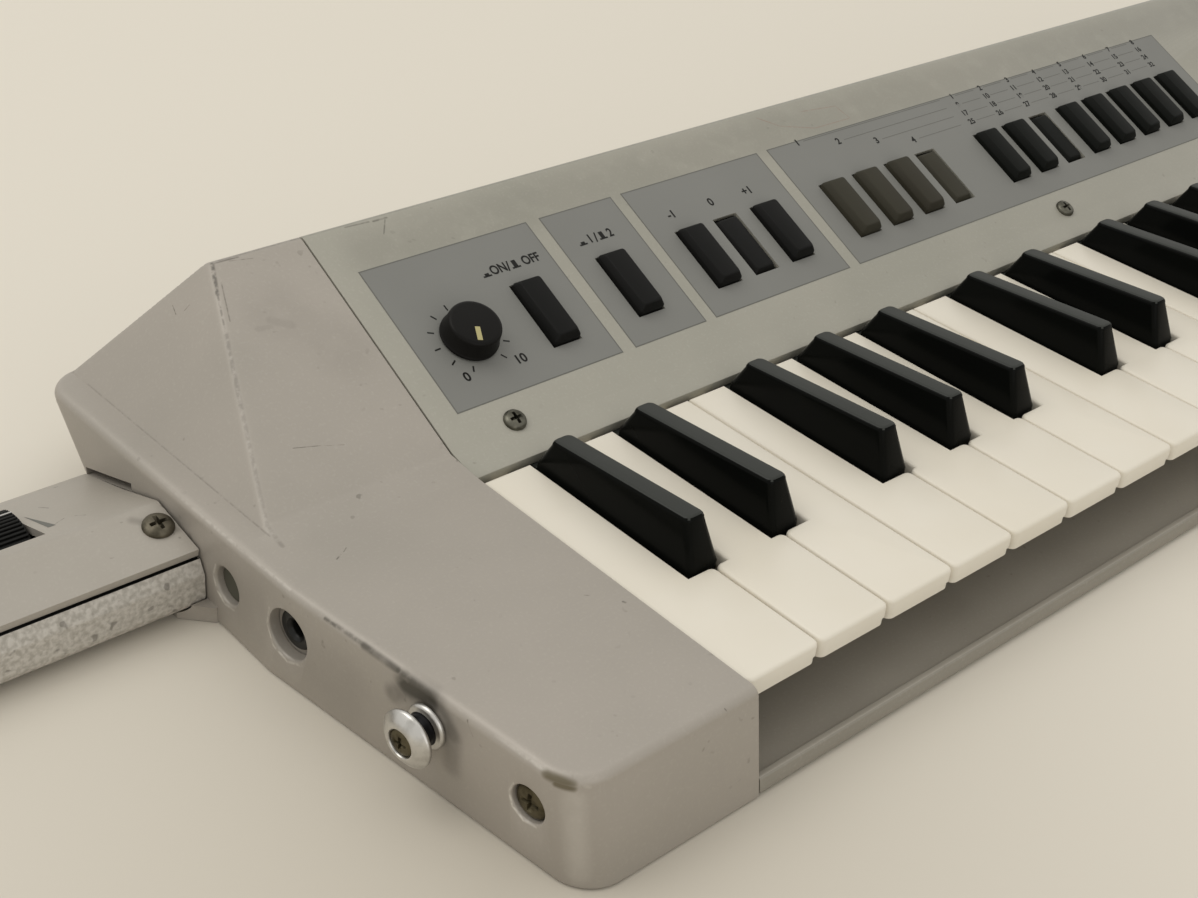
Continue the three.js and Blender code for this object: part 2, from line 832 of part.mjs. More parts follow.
function capShell() {
  const outer = capShape(0, -seam / 2).add(humpShape(0, -seam / 2));
  const hollow = capShape(capWall, -capWall).add(humpShape(capWall, -capWall));
  const inner = capOpeningInset;
  const slot = box(
    point(-capWall - cutOverrun, inner, capWall),
    point(cutOverrun, rearFoot - inner, keyTopHeight - inner),
  );
  return outer.subtract(hollow).subtract(slot);
}

function sidePad(place, normal, radius) {
  const start = place.clone().addScaledVector(normal, -capWall / 2);
  return rod(radius + padMargin, start, normal.clone().negate(), padDepth);
}

function sideHole(place, normal, radius, depth) {
  const start = place.clone().addScaledVector(normal, -depth);
  return rod(radius, start, normal, depth + cutOverrun);
}

// The same piece for the other end of the keyboard: mirroring turns the faces round, so their order is too
function mirrored(body) {
  const geometry = skin(body).scale(-1, 1, 1).translate(keyboardLength, 0, 0);
  geometry.setIndex(Array.from(geometry.index.array).reverse());
  return solid(geometry);
}

// Everything to the right of the cap's side, grown by a gap
function sideBlock(gap, front, rear) {
  const low = -cutOverrun;
  const high = keyTopHeight + cutOverrun;
  const corners = [];
  [low, high].forEach((height) => {
    [front, rear].forEach((y) => {
      corners.push(point(onCapSide(y, height).x - gap, y, height));
      corners.push(point(0, y, height));
    });
  });
  return hull(corners);
}

// A small wing of the left cap that cradles the neck's root in front
function neckGusset() {
  const front = neckFront - gripBelly;
  const outline = [
    spot(-capReach, front - gussetOverhang),
    spot(-capReach, front + gripRound),
    spot(-neckRoot - gusset, front + gripRound),
    spot(-neckRoot - gusset, front + gripRound / 2),
    spot(-neckRoot, front - gussetOverhang + seam),
  ];
  const clearance = alongX(gripOutline(seam), -neckRoot - gusset * 2, -capReach - seam);
  return upright(outline.reverse(), 0, gussetHeight).subtract(clearance);
}

// A slot in the cap's side over the rear half of the neck
function neckSlot() {
  const ends = [neckSlotFront, neckSlotRear];
  const low = ends.map((y) => spot(y, neckTop(y) - seam));
  const high = ends.map((y) => spot(y, neckTop(y) + neckSlotHeight)).reverse();
  return alongX([...low, ...high], -neckRoot - cutOverrun, -capReach + capWall);
}

function makeCaps() {
  const screw = onCapSide(-capScrewBehind, keyTopHeight - capScrewDrop);
  const strap = onCapSide(-strapBehind, keyTopHeight - strapDrop);
  const plug = onCapSide(plugHoleAhead, keyTopHeight - plugHoleDrop);
  const jack = onCapSide(-jackBehind, keyTopHeight - jackDrop);
  const side = sideNormal(plug.y, plug.z);
  const strapOut = sideNormal(strap.y, strap.z);
  const screwOut = sideNormal(screw.y, screw.z);
  const fastened = joined([
    capShell(),
    sidePad(screw, screwOut, capScrewRadius),
    sidePad(strap, strapOut, strapShankRadius + padMargin),
  ]);
  const shared = cutBy(fastened, [
    sideHole(screw, screwOut, capScrewRadius, capScrewDepth),
    sideHole(strap, strapOut, strapShankRadius + seam, capWall + padDepth),
  ]);
  piece('right_end_cap', mirrored(shared), silver);

  const jackFace = jack.clone().addScaledVector(side, -capWall - seam);
  const jackPocket = jackFace.clone().addScaledVector(side, seam);
  const inward = side.clone().negate();
  const tongue = tongueCorners(seam);
  const left = joined([shared, sidePad(plug, side, plugHoleRadius), neckGusset()]);
  const leftTools = [
    sideHole(plug, side, plugHoleRadius, plugHoleDepth),
    sideHole(jack, side, jackRecessRadius, capWall + cutOverrun),
    rod(jackBodyRadius + seam, jackPocket, inward, jackBodyLength + 2 * seam),
    box(tongue.low, tongue.high),
    neckSlot(),
  ];
  piece('left_end_cap', cutBy(left, leftTools), silver);

  const jackBody = rod(jackBodyRadius, jackFace, inward, jackBodyLength);
  const boreEnd = jackFace.clone().addScaledVector(side, -jackBoreDepth);
  const bore = rod(jackBoreRadius, boreEnd, side, jackBoreDepth + cutOverrun);
  piece('side_jack', jackBody.subtract(bore), rubber);

  const strapBody = turned(strapProfile(), strap.clone().addScaledVector(strapOut, seam), strapOut);
  piece('strap_button_left', strapBody, chromium);
  piece('strap_button_right', mirrored(strapBody), chromium);
}

function strapProfile() {
  const disc = strapBase + strapStand;
  return [
    spot(0, -strapShank),
    spot(strapShankRadius, -strapShank),
    spot(strapShankRadius, 0),
    spot(strapBaseRadius, 0),
    spot(strapBaseRadius, strapBase / 2),
    spot(strapNeckRadius, strapBase),
    spot(strapNeckRadius, disc - strapDisc),
    spot(strapDiscRadius, disc),
    spot(strapDiscRadius, disc + strapDisc / 2),
    spot(strapFaceRadius, disc + strapCrown),
    spot(0, disc + strapCrown),
  ];
}

// The tongue on the neck that slides into the left end cap
function tongueCorners(grow) {
  const floor = keyTopHeight - neckDepth + neckWall;
  return {
    low: point(-neckRoot - neckWall - grow, tongueFront - grow, floor - grow),
    high: point(-neckRoot + tongueLength + grow, tongueRear + grow, floor + tongueHeight + grow),
  };
}

function neckTop(y) {
  return keyTopHeight - neckFoldDrop - neckSlope * (y - neckFold);
}

function neckNormal() {
  return point(0, neckSlope, 1).normalize();
}

// The far end of the neck is cut on a slant
function neckEndCut() {
  const end = -neckRoot - neckLength;
  const front = neckFront - gripBelly - cutOverrun;
  const outline = [
    spot(end - cutOverrun, front),
    spot(end + neckEndTaper, front),
    spot(end, neckFold),
    spot(end - cutOverrun, neckFold),
  ];
  return upright(outline, -cutOverrun, keyTopHeight);
}

// The grip's outside below the cover, grown by a gap, for itself and for what clears it
function gripOutline(grow) {
  const bottom = keyTopHeight - neckDepth - grow;
  const front = neckFront - seam - grow;
  const rear = neckRear - neckWall + grow;
  const top = keyTopHeight - neckFrontDrop - neckWall - seam;
  return [
    spot(front, top),
    spot(front - gripBelly, top - gripBellyDrop),
    spot(front - gripBelly, bottom + gripRound),
    spot(front - gripBelly / 2, bottom + gripRound / 3),
    spot(front + gripRound / 2, bottom),
    spot(rear - gripRound / 2, bottom),
    spot(rear, bottom + gripRound / 4),
    spot(rear, keyTopHeight - neckRearDrop - neckWall),
  ];
}

function makeNeck() {
  const near = -capReach + seam;
  const far = -neckRoot - neckLength;
  const hub = keyTopHeight - wheelAxisDrop;
  const ahead = neckFront - gripBelly * 2;
  const coverLine = [
    spot(neckFront, keyTopHeight - neckFrontDrop),
    spot(neckFold, keyTopHeight - neckFoldDrop),
    spot(neckShoulder, keyTopHeight - neckShoulderDrop),
    spot(neckRear, keyTopHeight - neckRearDrop),
  ];
  const cover = alongX(folded(coverLine, -neckWall).reverse(), far, near);
  const wheels = [-volumeWheelX, -modulationWheelX];
  const coverTools = wheels.map((x) => {
    const half = wheelWidth / 2 + wheelWindowGap;
    const low = point(x - half, wheelWindowFront, hub);
    return box(low, point(x + half, wheelWindowRear, keyTopHeight));
  });
  coverTools.push(sideBlock(seam, ahead, neckRear + cutOverrun));
  piece('neck_cover', cutBy(cover, [...coverTools, neckEndCut()]), silver);

  const bottom = keyTopHeight - neckDepth;
  const cavity = box(
    point(far + neckEndTaper + neckWall, neckFront + neckWall, bottom + neckWall),
    point(-neckRoot - neckWall, neckRear - neckWall * 2, keyTopHeight),
  );
  const trough = alongX(gripOutline(0), far, near).subtract(cavity);
  const ribs = [];
  const holes = [];
  wheels.forEach((x) => {
    [-1, 1].forEach((side) => {
      const middle = x + side * (wheelWidth / 2 + seam + bearingRib / 2);
      const reach = bearingRibHeight;
      const low = point(middle - bearingRib / 2, wheelBehind - reach, bottom + seam);
      ribs.push(box(low, point(middle + bearingRib / 2, wheelBehind + reach, hub + reach)));
      const start = point(middle - bearingRib, wheelBehind, hub);
      holes.push(rod(wheelHubRadius + seam, start, point(1, 0, 0), bearingRib * 2));
    });
  });
  const tongue = tongueCorners(0);
  const shell = cutBy(joined([trough, ...ribs]), [
    ...holes,
    sideBlock(seam, ahead, neckRear + cutOverrun),
    neckEndCut(),
  ]);
  piece('neck_grip', shell.add(box(tongue.low, tongue.high)), spatter);

  const normal = neckNormal();
  const lift = (ribbonSheet / 2 + seam) / normal.z;
  const ribbonY = (neckFold + neckRear) / 2;
  const ribbon = new THREE.BoxGeometry(ribbonFar - ribbonNear, ribbonWidth, ribbonSheet);
  const tilt = new THREE.Quaternion().setFromUnitVectors(point(0, 0, 1), normal);
  const place = point(-(ribbonNear + ribbonFar) / 2, ribbonY, neckTop(ribbonY) + lift);
  const ribbonFrame = new THREE.Matrix4().compose(place, tilt, point(1, 1, 1));
  piece('pitch_ribbon', moved(ribbon, ribbonFrame), rubber);
  makeWheel('volume_wheel', -volumeWheelX);
  makeWheel('modulation_wheel', -modulationWheelX);
}

// A thumb wheel is a sector with a hub, turning on an axis along the neck
function makeWheel(name, x) {
  const sweep = THREE.MathUtils.degToRad(wheelSectorDegrees);
  const normal = neckNormal();
  const middle = Math.atan2(normal.z, normal.y);
  const outline = [spot(0, 0)];
  for (let step = 0; step <= wheelSteps; step += 1) {
    const angle = middle - sweep / 2 + (sweep * step) / wheelSteps;
    outline.push(spot(wheelRadius, 0).rotateAround(spot(0, 0), angle));
  }
  const hub = keyTopHeight - wheelAxisDrop;
  const placed = outline.map((vertex) => spot(vertex.x + wheelBehind, vertex.y + hub));
  const sector = alongX(placed, x - wheelWidth / 2, x + wheelWidth / 2);
  const reach = wheelWidth / 2 + wheelHubLength;
  const shaft = rod(wheelHubRadius, point(x - reach, wheelBehind, hub), point(1, 0, 0), reach * 2);
  piece(name, sector.add(shaft), rubber);
}

makeCase();
makeKeyBed();
makePanel();
makeBoard();
makeKnob();
makeButtons();
makeKeys();
makeCaps();
makeNeck();

// The origin is under the middle of the whole instrument, on the surface it lies on
const bounds = new THREE.Box3().setFromObject(model);
const middle = bounds.getCenter(new THREE.Vector3());
model.position.set(-middle.x, -middle.y, -bounds.min.z);

export default model;
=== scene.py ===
"""Looks of a silver shoulder keyboard: fine pieces, finishes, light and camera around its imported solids.

Lengths here are millimetres in the keyboard's own frame. X starts at the left edge of the lowest key, Y at
the line where the keys meet the control panel, and Z at the table. Datum turns them into the row frame.
"""

import logging
from dataclasses import dataclass
from enum import Enum
from itertools import product
from math import atan, atan2, copysign, cos, pi, radians, sin, tan
from typing import Any, Callable, Sequence

import bmesh
import bpy
import numpy as np
from mathutils import Matrix, Vector


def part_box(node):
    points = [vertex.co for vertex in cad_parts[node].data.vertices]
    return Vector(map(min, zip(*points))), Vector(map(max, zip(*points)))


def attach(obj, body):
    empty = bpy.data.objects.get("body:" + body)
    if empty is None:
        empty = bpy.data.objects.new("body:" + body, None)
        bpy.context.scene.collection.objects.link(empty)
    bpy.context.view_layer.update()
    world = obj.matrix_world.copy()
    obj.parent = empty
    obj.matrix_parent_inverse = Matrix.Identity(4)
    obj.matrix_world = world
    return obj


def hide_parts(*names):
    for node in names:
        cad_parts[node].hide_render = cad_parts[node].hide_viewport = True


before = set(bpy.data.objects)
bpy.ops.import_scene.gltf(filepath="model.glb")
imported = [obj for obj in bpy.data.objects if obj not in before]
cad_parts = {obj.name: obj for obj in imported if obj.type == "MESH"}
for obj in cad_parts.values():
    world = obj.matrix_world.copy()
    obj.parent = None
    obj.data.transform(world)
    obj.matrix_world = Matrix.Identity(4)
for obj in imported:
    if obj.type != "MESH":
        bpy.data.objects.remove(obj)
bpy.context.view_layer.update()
log = logging.getLogger("keytar")

Pair = tuple[float, float]
Pairs = tuple[Pair, ...]
Triple = tuple[float, float, float]
Points = Sequence[Sequence[float]]
Tree = bpy.types.NodeTree

MM = 0.001
SEAM = 0.3
KEY_TOP = 23.0
KEY_LENGTH = 78.0
KEY_GAP = 0.5
KEYBOARD = 440.0
ROOT = "instrument"


class Side(Enum):
    """The two ends of the instrument."""

    LEFT = "left"
    RIGHT = "right"


class Edge(Enum):
    """Which ends of a pushed outline are rounded."""

    TOP = "top"
    BOTH = "both"


class Datum:
    """Ties the keyboard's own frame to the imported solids."""

    def __init__(self) -> None:
        """Reads the place of the lowest key, whose front left corner is known."""
        low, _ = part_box("white_key_01")
        self.origin = Vector((low.x / MM - KEY_GAP / 2, low.y / MM + KEY_LENGTH, 0.0))

    def matrix(self) -> Matrix:
        """Returns the matrix from keyboard millimetres to row frame metres."""
        return Matrix.Scale(MM, 4) @ Matrix.Translation(self.origin)

    def at(self, x: float, y: float, z: float) -> Vector:
        """Returns a keyboard place in row frame metres."""
        return self.matrix() @ Vector((x, y, z))


DATUM = Datum()


def shade(code: str) -> tuple[float, float, float, float]:
    """Turns an sRGB hex colour into linear light, by the sRGB curve.

    Args:
        code: Six hex digits.

    Returns:
        Linear red, green and blue with a full alpha.
    """
    channels = [int(code[i : i + 2], 16) / 255 for i in (0, 2, 4)]
    linear = [c / 12.92 if c <= 0.04045 else ((c + 0.055) / 1.055) ** 2.4 for c in channels]
    return (linear[0], linear[1], linear[2], 1.0)


def add(tree: Tree, kind: str, settings: dict | None = None, links: dict | None = None) -> Any:
    """Adds one node with its settings and links.

    Args:
        tree: The tree that gets the node.
        kind: The node's type.
        settings: Properties by name, or socket values by socket name or number.
        links: Sources by the name or number of the socket they feed, a node for its first output.

    Returns:
        The new node.
    """
    node = tree.nodes.new(kind)
    for key, value in (settings or {}).items():
        if isinstance(key, str) and key not in node.inputs:
            setattr(node, key, value)
    for key, value in (settings or {}).items():
        if not isinstance(key, str) or key in node.inputs:
            node.inputs[key].default_value = value
    for key, source in (links or {}).items():
        tree.links.new(source.outputs[0] if isinstance(source, bpy.types.Node) else source, node.inputs[key])
    return node


def stand(name: str, data: Any) -> bpy.types.Object:
    """Puts a new object with some data into the scene."""
    made = bpy.data.objects.new(name, data)
    bpy.context.scene.collection.objects.link(made)
    return made


def evaluated(obj: bpy.types.Object) -> bpy.types.Mesh:
    """Returns an object's mesh with its modifiers applied."""
    bpy.context.view_layer.update()
    graph = bpy.context.evaluated_depsgraph_get()
    return bpy.data.meshes.new_from_object(obj.evaluated_get(graph))


# Outlines and solids


def rectangle(left: float, right: float, low: float, high: float) -> list[Pair]:
    """Returns a rectangle's corners, counter-clockwise from the lower left one."""
    return [(left, low), (right, low), (right, high), (left, high)]


def rounded(corners: Points, radii: Sequence[float], steps: int = 5) -> list[Vector]:
    """Rounds the corners of a polygon.

    Args:
        corners: Corner places in a plane.
        radii: A radius for each corner, zero for a sharp one.
        steps: Pieces of each arc.

    Returns:
        The outline's points.
    """
    outline: list[Vector] = []
    for index, (corner, radius) in enumerate(zip(corners, radii)):
        here = Vector(corner)
        if radius <= 0:
            outline.append(here)
            continue
        inward = (Vector(corners[index - 1]) - here).normalized()
        outward = (Vector(corners[(index + 1) % len(corners)]) - here).normalized()
        half = inward.angle(outward) / 2
        arm = inward * (radius / tan(half))
        centre = here + (inward + outward).normalized() * (radius / sin(half))
        spoke = here + arm - centre
        turn = -copysign(pi - 2 * half, inward.x * outward.y - inward.y * outward.x)
        outline += [centre + Matrix.Rotation(turn * step / steps, 2) @ spoke for step in range(steps + 1)]
    return outline


def inset(outline: Sequence[Vector], distance: float) -> list[Vector]:
    """Moves a counter-clockwise outline inwards by one distance all round."""
    result = []
    for index, here in enumerate(outline):
        before = (here - outline[index - 1]).normalized()
        after = (outline[(index + 1) % len(outline)] - here).normalized()
        first = Vector((-before.y, before.x))
        second = Vector((-after.y, after.x))
        result.append(here + (first + second) * (distance / (1 + first.dot(second))))
    return result


def folded(line: Sequence[Vector], thickness: float) -> list[Vector]:
    """Gives an open line a thickness to its left and returns the closed outline."""
    inner = []
    for index, here in enumerate(line):
        first = here - line[max(index - 1, 0)]
        last = line[min(index + 1, len(line) - 1)] - here
        entry = (first if first.length > 0 else last).normalized()
        leave = (last if last.length > 0 else first).normalized()
        side = Vector((-entry.y - leave.y, entry.x + leave.x)).normalized()
        inner.append(here + side * (thickness / side.dot(Vector((-entry.y, entry.x)))))
    return list(line) + inner[::-1]


class Solid:
    """A closed mesh under construction, in keyboard millimetres."""

    def __init__(self, name: str, mesh: bpy.types.Mesh) -> None:
        """Wraps a mesh in an object of the scene."""
        self.obj = stand(name, mesh)

    @classmethod
    def from_faces(cls, points: Points, faces: Sequence[Sequence[int]]) -> "Solid":
        """Builds a solid from points and faces, closes its doubles and turns its faces outwards."""
        mesh = bpy.data.meshes.new("solid")
        mesh.from_pydata([tuple(p) for p in points], [], [tuple(f) for f in faces])
        work = bmesh.new()
        work.from_mesh(mesh)
        bmesh.ops.remove_doubles(work, verts=work.verts, dist=1e-4)
        bmesh.ops.recalc_face_normals(work, faces=work.faces)
        work.to_mesh(mesh)
        work.free()
        return cls("solid", mesh)

    @classmethod
    def loft(cls, rings: Sequence[Sequence[Vector]]) -> "Solid":
        """Skins rings of equally many points and closes both ends flat."""
        count = len(rings[0])
        faces: list[tuple[int, ...]] = []
        for level in range(len(rings) - 1):
            low = level * count
            for index in range(count):
                after = (index + 1) % count
                faces.append((low + index, low + after, low + count + after, low + count + index))
        top = (len(rings) - 1) * count
        faces.append(tuple(reversed(range(count))))
        faces.append(tuple(range(top, top + count)))
        return cls.from_faces([p for ring in rings for p in ring], faces)

    @classmethod
    def prism(cls, outline: Sequence[Vector], low: float, high: float, edge: float = 0.0,
              ends: Edge = Edge.TOP, steps: int = 3) -> "Solid":
        """Pushes a counter-clockwise plan outline up, with rounded ends.

        Args:
            outline: The plan outline.
            low: Height of its foot.
            high: Height of its top.
            edge: Radius of the rounding.
            ends: Which ends are rounded.
            steps: Pieces of the rounding's arc.

        Returns:
            The solid.
        """
        levels = [(low, 0.0), (high - edge, 0.0)]
        if edge > 0:
            angles = [pi / 2 * (step + 1) / steps for step in range(steps)]
            arc = [(1 - sin(a), 1 - cos(a)) for a in angles]
            levels += [(high - edge * drop, edge * shrink) for drop, shrink in arc]
            if ends is Edge.BOTH:
                foot = [(low + edge * drop, edge * shrink) for drop, shrink in reversed(arc)]
                levels = foot + [(low + edge, 0.0)] + levels[1:]
        rings = [[p.to_3d() + Vector((0, 0, z)) for p in inset(outline, shrink)] for z, shrink in levels]
        return cls.loft(rings)

    @classmethod
    def along_x(cls, section: Sequence[Vector], start: float, stop: float) -> "Solid":
        """Pushes a section in Y and Z along X."""
        rings = [[Vector((x, p.x, p.y)) for p in section] for x in (start, stop)]
        return cls.loft(rings)

    @classmethod
    def lathe(cls, profile: Points, place: Vector, axis: Vector, sides: int = 48) -> "Solid":
        """Turns a profile of radius and height pairs about an axis that starts at a place."""
        rings = []
        for radius, height in profile:
            turns = (2 * pi * side / sides for side in range(sides))
            rings.append([Vector((radius * cos(a), radius * sin(a), height)) for a in turns])
        solid = cls.loft(rings)
        solid.place(Matrix.Translation(place) @ axis.to_track_quat("Z", "Y").to_matrix().to_4x4())
        return solid

    @classmethod
    def pin(cls, radius: float, low: float, high: float, place: Vector, axis: Vector,
            sides: int = 48) -> "Solid":
        """Makes a round pin between two heights along an axis."""
        return cls.lathe([(0, low), (radius, low), (radius, high), (0, high)], place, axis, sides)

    @classmethod
    def hull(cls, points: Sequence[Vector]) -> "Solid":
        """Wraps the smallest convex solid round some points."""
        mesh = bpy.data.meshes.new("hull")
        work = bmesh.new()
        for place in points:
            work.verts.new(place)
        result = bmesh.ops.convex_hull(work, input=work.verts)
        loose = result["geom_interior"] + result["geom_unused"]
        spare = {item for item in loose if isinstance(item, bmesh.types.BMVert)}
        bmesh.ops.delete(work, geom=list(spare), context="VERTS")
        bmesh.ops.dissolve_limit(work, angle_limit=0.002, verts=work.verts, edges=work.edges)
        bmesh.ops.recalc_face_normals(work, faces=work.faces)
        work.to_mesh(mesh)
        work.free()
        return cls("hull", mesh)

    @classmethod
    def box(cls, low: Sequence[float], high: Sequence[float]) -> "Solid":
        """Makes a box between two corners."""
        return cls.hull([Vector(corner) for corner in product(*zip(low, high))])

    def place(self, matrix: Matrix) -> "Solid":
        """Moves the mesh itself."""
        self.obj.data.transform(matrix)
        return self

    def mirrored(self) -> "Solid":
        """Turns the solid into the one for the other end of the keyboard."""
        self.obj.data.transform(Matrix.Translation((KEYBOARD, 0, 0)) @ Matrix.Scale(-1, 4, (1, 0, 0)))
        self.obj.data.flip_normals()
        return self

    def _bake(self) -> "Solid":
        """Applies the modifiers to the mesh."""
        mesh = evaluated(self.obj)
        self.obj.modifiers.clear()
        old = self.obj.data
        self.obj.data = mesh
        bpy.data.meshes.remove(old)
        return self

    def _combine(self, others: Sequence["Solid"], operation: str) -> "Solid":
        """Runs one exact boolean for each other solid and discards them."""
        for other in others:
            step = self.obj.modifiers.new("combine", "BOOLEAN")
            step.operation = operation
            step.solver = "EXACT"
            step.object = other.obj
        self._bake()
        for other in others:
            other.discard()
        return self

    def cut(self, *tools: "Solid") -> "Solid":
        """Takes the tools away from the solid."""
        return self._combine(tools, "DIFFERENCE")

    def fuse(self, *others: "Solid") -> "Solid":
        """Joins other solids to this one into one skin."""
        return self._combine(others, "UNION")

    def gather(self, *others: "Solid") -> "Solid":
        """Puts other meshes beside this one without touching their skins, and keeps their finishes."""
        work = bmesh.new()
        work.from_mesh(self.obj.data)
        for other in others:
            offset = len(self.obj.data.materials)
            for finish in other.obj.data.materials:
                self.obj.data.materials.append(finish)
            first = len(work.faces)
            work.from_mesh(other.obj.data)
            work.faces.ensure_lookup_table()
            for face in work.faces[first:]:
                face.material_index += offset
            other.discard()
        work.to_mesh(self.obj.data)
        work.free()
        return self

    def bevel(self, width: float, steps: int = 2, angle: float = 40.0) -> "Solid":
        """Rounds the edges that are sharper than an angle in degrees."""
        step = self.obj.modifiers.new("edges", "BEVEL")
        step.width = width
        step.segments = steps
        step.limit_method = "ANGLE"
        step.angle_limit = radians(angle)
        return self._bake()

    def dress(self, *finishes: "Finish", pick: Callable[[Vector, Vector], int] | None = None) -> "Solid":
        """Gives the solid its finishes.

        Args:
            finishes: The finishes, the first one for all faces.
            pick: Returns a finish's number for a face's centre and normal.

        Returns:
            The solid.
        """
        mesh = self.obj.data
        mesh.materials.clear()
        for finish in finishes:
            mesh.materials.append(finish.material())
        for face in mesh.polygons:
            face.material_index = pick(face.center, face.normal) if pick else 0
        return self

    def discard(self) -> None:
        """Removes the solid from the scene."""
        mesh = self.obj.data
        bpy.data.objects.remove(self.obj)
        bpy.data.meshes.remove(mesh)

    def settle(self, name: str, body: str, slot: str, replaces: Sequence[str] = (),
               smooth: float = 35.0) -> Any:
        """Turns the solid into a finished piece of the scene.

        Args:
            name: The piece's name.
            body: The body that it rides on.
            slot: The record's material slot that it follows; not used.
            replaces: Solids of the frame that it stands for.
            smooth: Edges flatter than this many degrees are shaded smooth.

        Returns:
            The finished object.
        """
        mesh = self.obj.data
        mesh.transform(DATUM.matrix())
        mesh.shade_smooth()
        mesh.set_sharp_from_angle(angle=radians(smooth))
        self.obj.name = name
        mesh.name = name
        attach(self.obj, body)
        if replaces:
            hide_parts(*replaces)
        log.info("%s: %d faces on %s", name, len(mesh.polygons), body)
        return self.obj


# Repeated shapes, made with node trees


class Pattern:
    """A node tree that copies one shape, realizes the copies and gives them a finish."""

    def __init__(self, name: str, inputs: dict[str, str]) -> None:
        """Starts the tree with its named inputs.

        Args:
            name: The tree's name.
            inputs: Socket types by the name of each input.
        """
        self.tree = bpy.data.node_groups.new(name, "GeometryNodeTree")
        face = self.tree.interface
        face.new_socket("Places", in_out="INPUT", socket_type="NodeSocketGeometry")
        for label, kind in {**inputs, "Copy": "NodeSocketObject", "Finish": "NodeSocketMaterial"}.items():
            face.new_socket(label, in_out="INPUT", socket_type=kind)
        face.new_socket("Geometry", in_out="OUTPUT", socket_type="NodeSocketGeometry")
        self.source = add(self.tree, "NodeGroupInput")

    def close(self, points: Any, rotation: Any = None) -> "Pattern":
        """Sets the copy on the points and ends the tree."""
        copy = add(self.tree, "GeometryNodeObjectInfo", {"transform_space": "ORIGINAL"},
                   {"Object": self.source.outputs["Copy"]})
        links = {"Points": points, "Instance": copy.outputs["Geometry"]}
        if rotation is not None:
            links["Rotation"] = rotation
        placed = add(self.tree, "GeometryNodeInstanceOnPoints", links=links)
        real = add(self.tree, "GeometryNodeRealizeInstances", links={"Geometry": placed})
        painted = add(self.tree, "GeometryNodeSetMaterial",
                      links={"Geometry": real, "Material": self.source.outputs["Finish"]})
        add(self.tree, "NodeGroupOutput", links={"Geometry": painted})
        return self

    def run(self, copy: Solid, finish: "Finish", values: dict | None = None,
            places: bpy.types.Mesh | None = None) -> Solid:
        """Evaluates the tree once and returns the copies as one plain mesh.

        Args:
            copy: The shape that is repeated, which is used up.
            finish: The finish of all copies.
            values: The tree's own inputs by name.
            places: A mesh whose points carry the copies, where the tree needs one.

        Returns:
            The copies.
        """
        carrier = stand("carrier", places or bpy.data.meshes.new("places"))
        step = carrier.modifiers.new("pattern", "NODES")
        step.node_group = self.tree
        given = {**(values or {}), "Copy": copy.obj, "Finish": finish.material()}
        for item in self.tree.interface.items_tree:
            if item.item_type == "SOCKET" and item.in_out == "INPUT" and item.name in given:
                step[item.identifier] = given[item.name]
        mesh = evaluated(carrier)
        carrier.modifiers.clear()
        bpy.data.objects.remove(carrier)
        copy.discard()
        return Solid("copies", mesh)


def row_pattern() -> Pattern:
    """Returns a tree that sets copies in a straight row."""
    made = Pattern("row_of_copies", {"Count": "NodeSocketInt", "Step": "NodeSocketVector"})
    line = add(made.tree, "GeometryNodeMeshLine", {"mode": "OFFSET"},
               {"Count": made.source.outputs["Count"], "Offset": made.source.outputs["Step"]})
    return made.close(line)


def arc_pattern() -> Pattern:
    """Returns a tree that sets copies round an arc about Z, each turned with it."""
    made = Pattern("arc_of_copies", {"Count": "NodeSocketInt", "Radius": "NodeSocketFloat",
                                     "Start": "NodeSocketFloat", "Turn": "NodeSocketFloat"})
    tree, given = made.tree, made.source.outputs
    line = add(tree, "GeometryNodeMeshLine", {"mode": "OFFSET"}, {"Count": given["Count"]})
    index = add(tree, "GeometryNodeInputIndex")
    angle = add(tree, "ShaderNodeMath", {"operation": "MULTIPLY_ADD"},
                {0: index, 1: given["Turn"], 2: given["Start"]})
    across = add(tree, "ShaderNodeMath", {"operation": "COSINE"}, {0: angle})
    upward = add(tree, "ShaderNodeMath", {"operation": "SINE"}, {0: angle})
    spoke = add(tree, "ShaderNodeCombineXYZ", links={"X": across, "Y": upward})
    place = add(tree, "ShaderNodeVectorMath", {"operation": "SCALE"}, {0: spoke, "Scale": given["Radius"]})
    points = add(tree, "GeometryNodeSetPosition", links={"Geometry": line, "Position": place})
    spin = add(tree, "ShaderNodeCombineXYZ", links={"Z": angle})
    return made.close(points, spin)


def scatter_pattern() -> Pattern:
    """Returns a tree that sets copies on given points, each leaning as its point says."""
    made = Pattern("copies_on_points", {})
    lean = add(made.tree, "GeometryNodeInputNamedAttribute", {"data_type": "FLOAT_VECTOR", "Name": "lean"})
    return made.close(made.source.outputs["Places"], lean)


# Finishes


